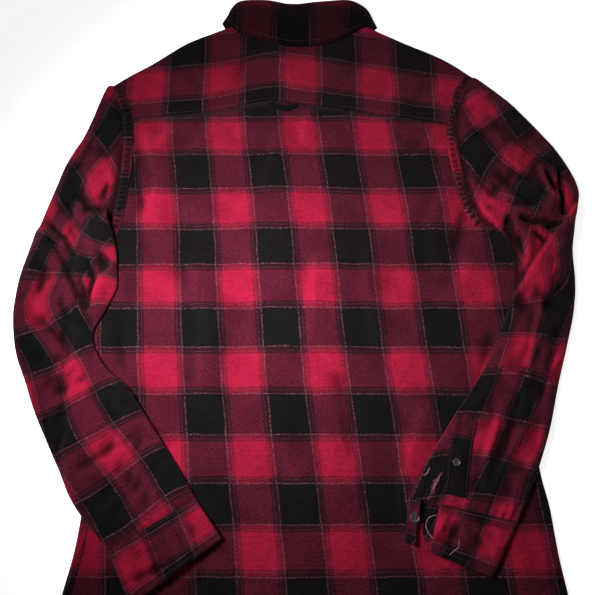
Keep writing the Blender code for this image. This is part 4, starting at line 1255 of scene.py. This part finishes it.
box, at, share = strip_points(RIGHT_PLACKET, 60, 16, lambda x, y: on_right_sleeve(x, y) + 1.4, 9.0)
placket_runs = [box[4:, column] for column in (1, 14)] + [box[row, 1:15] for row in (4, 24)]
stitch_rows("placket_stitches", placket_runs)

# The collar's edge stitching, on the rows of points that the leaf was made from.
leaf_points = np.array([tuple(v.co) for v in leaf.data.vertices]).reshape(LEAF_COLUMNS, -1, 3) / MM
run = leaf_points[60:155, ROLL_ROWS + 22] + [*MIDDLE, LEAF_CLOTH / 2 + STANDS]
stitch_rows("collar_stitches", [run])


# ---------------------------------------------------------------------------------------------------------
# Loose ends. Fibres have frayed out of the right sleeve's gathers above its cuff, and two pale ends of
# sewing thread lie on the cuff beside its opening.

# Columns: X and Y of each loose end's run.
LOOSE_ENDS = (
    ((153.7, -256), (145, -259), (141, -267), (144, -276), (152, -284)),
    ((176.7, -282.5), (175, -290), (165.6, -298)),
)

pale_thread = spun_thread("pale_thread", (0.42, 0.16, 0.19), (0.62, 0.34, 0.36), 900.0, 0.8, bump=False)
frayed_yarn = spun_thread("frayed_yarn", (0.20, 0.035, 0.06), (0.40, 0.13, 0.17), 900.0, 0.8, bump=False)

frayed = []
for k in range(34):
    # Short fibres that have worked out of the gathers, each a little turned from the next.
    start_x, start_y = 147 + 16 * ((k * 0.618) % 1), -204 - 26 * ((k * 0.381 + 0.2) % 1)
    lean, reach = -4 - 5 * ((k * 0.27) % 1), 5 + 7 * ((k * 0.47) % 1)
    t = np.linspace(0, 1, 8)
    x, y = start_x + lean * t + 0.8 * np.sin(t * 5 + k), start_y - reach * t
    frayed.append(spot(x, y, on_right_sleeve(x, y) + 0.55 + 0.4 * np.sin(t * 4 + k)))
fibres = thread_curve("frayed_fibres", frayed, 0.28, frayed_yarn)
frayed = []
for run in LOOSE_ENDS:
    table = np.array(run, float)
    x, y = smooth(np.arange(len(table)), table, np.linspace(0, len(table) - 1, 24)).T
    frayed.append(spot(x, y, cuff_top(1, x, y) + 1.6))
loose_ends = thread_curve("loose_ends", frayed, 0.42, pale_thread)


# ---------------------------------------------------------------------------------------------------------
# The stage: a plain pale floor, one soft light over the left side whose beam falls off towards the shirt's
# edges, a weak one high on the right, and the camera above the shirt's tail, looking down at it.

FLOOR_LEVEL = -0.0006  # just below the lowest stitch and cloth

floor_mesh = bpy.data.meshes.new("floor")
corners = [(x, y, FLOOR_LEVEL) for x, y in ((-4, -4), (4, -4), (4, 4), (-4, 4))]
floor_mesh.from_pydata(corners, [], [(0, 1, 2, 3)])
floor = bpy.data.objects.new("floor", floor_mesh)
bpy.context.scene.collection.objects.link(floor)
pale_floor, _, shader = material("pale_floor")
shader.inputs["Base Color"].default_value = (0.90, 0.90, 0.90, 1)
shader.inputs["Roughness"].default_value = 0.9
shader.inputs["Emission Color"].default_value = (1, 1, 1, 1)
shader.inputs["Emission Strength"].default_value = 0.80
floor_mesh.materials.append(pale_floor)

world = bpy.data.worlds.new("studio")
bpy.context.scene.world = world
world.use_nodes = True
world.node_tree.nodes["Background"].inputs["Color"].default_value = (1.0, 1.0, 1.0, 1)
world.node_tree.nodes["Background"].inputs["Strength"].default_value = 0.09


def soft_light(name, place, aim, size, power, spread):
    light = bpy.data.lights.new(name, "AREA")
    light.shape, light.size, light.energy, light.spread = "SQUARE", size, power, math.radians(spread)
    lamp = bpy.data.objects.new(name, light)
    lamp.location = place
    away = np.array(place) - np.array(aim)
    flat = math.hypot(away[0], away[1])
    lamp.rotation_euler = (math.atan2(flat, away[2]), 0, math.atan2(away[0], -away[1]))
    bpy.context.scene.collection.objects.link(lamp)


soft_light("window", (-0.34, -0.02, 0.50), (0.02, 0.01, 0.0), 0.22, 3.1, 92)
soft_light("fill", (0.9, 0.3, 1.3), (0.1, 0.1, 0.0), 0.9, 1.2, 180)

camera = bpy.data.cameras.new("camera")
camera.lens, camera.sensor_width, camera.clip_start = 37, 36, 0.05
viewer = bpy.data.objects.new("camera", camera)
viewer.location = (-0.005, -0.218, 0.7478)
viewer.rotation_euler = (math.radians(16.1), 0, 0)
bpy.context.scene.collection.objects.link(viewer)
bpy.context.scene.camera = viewer
bpy.context.scene.view_settings.view_transform = "Standard"
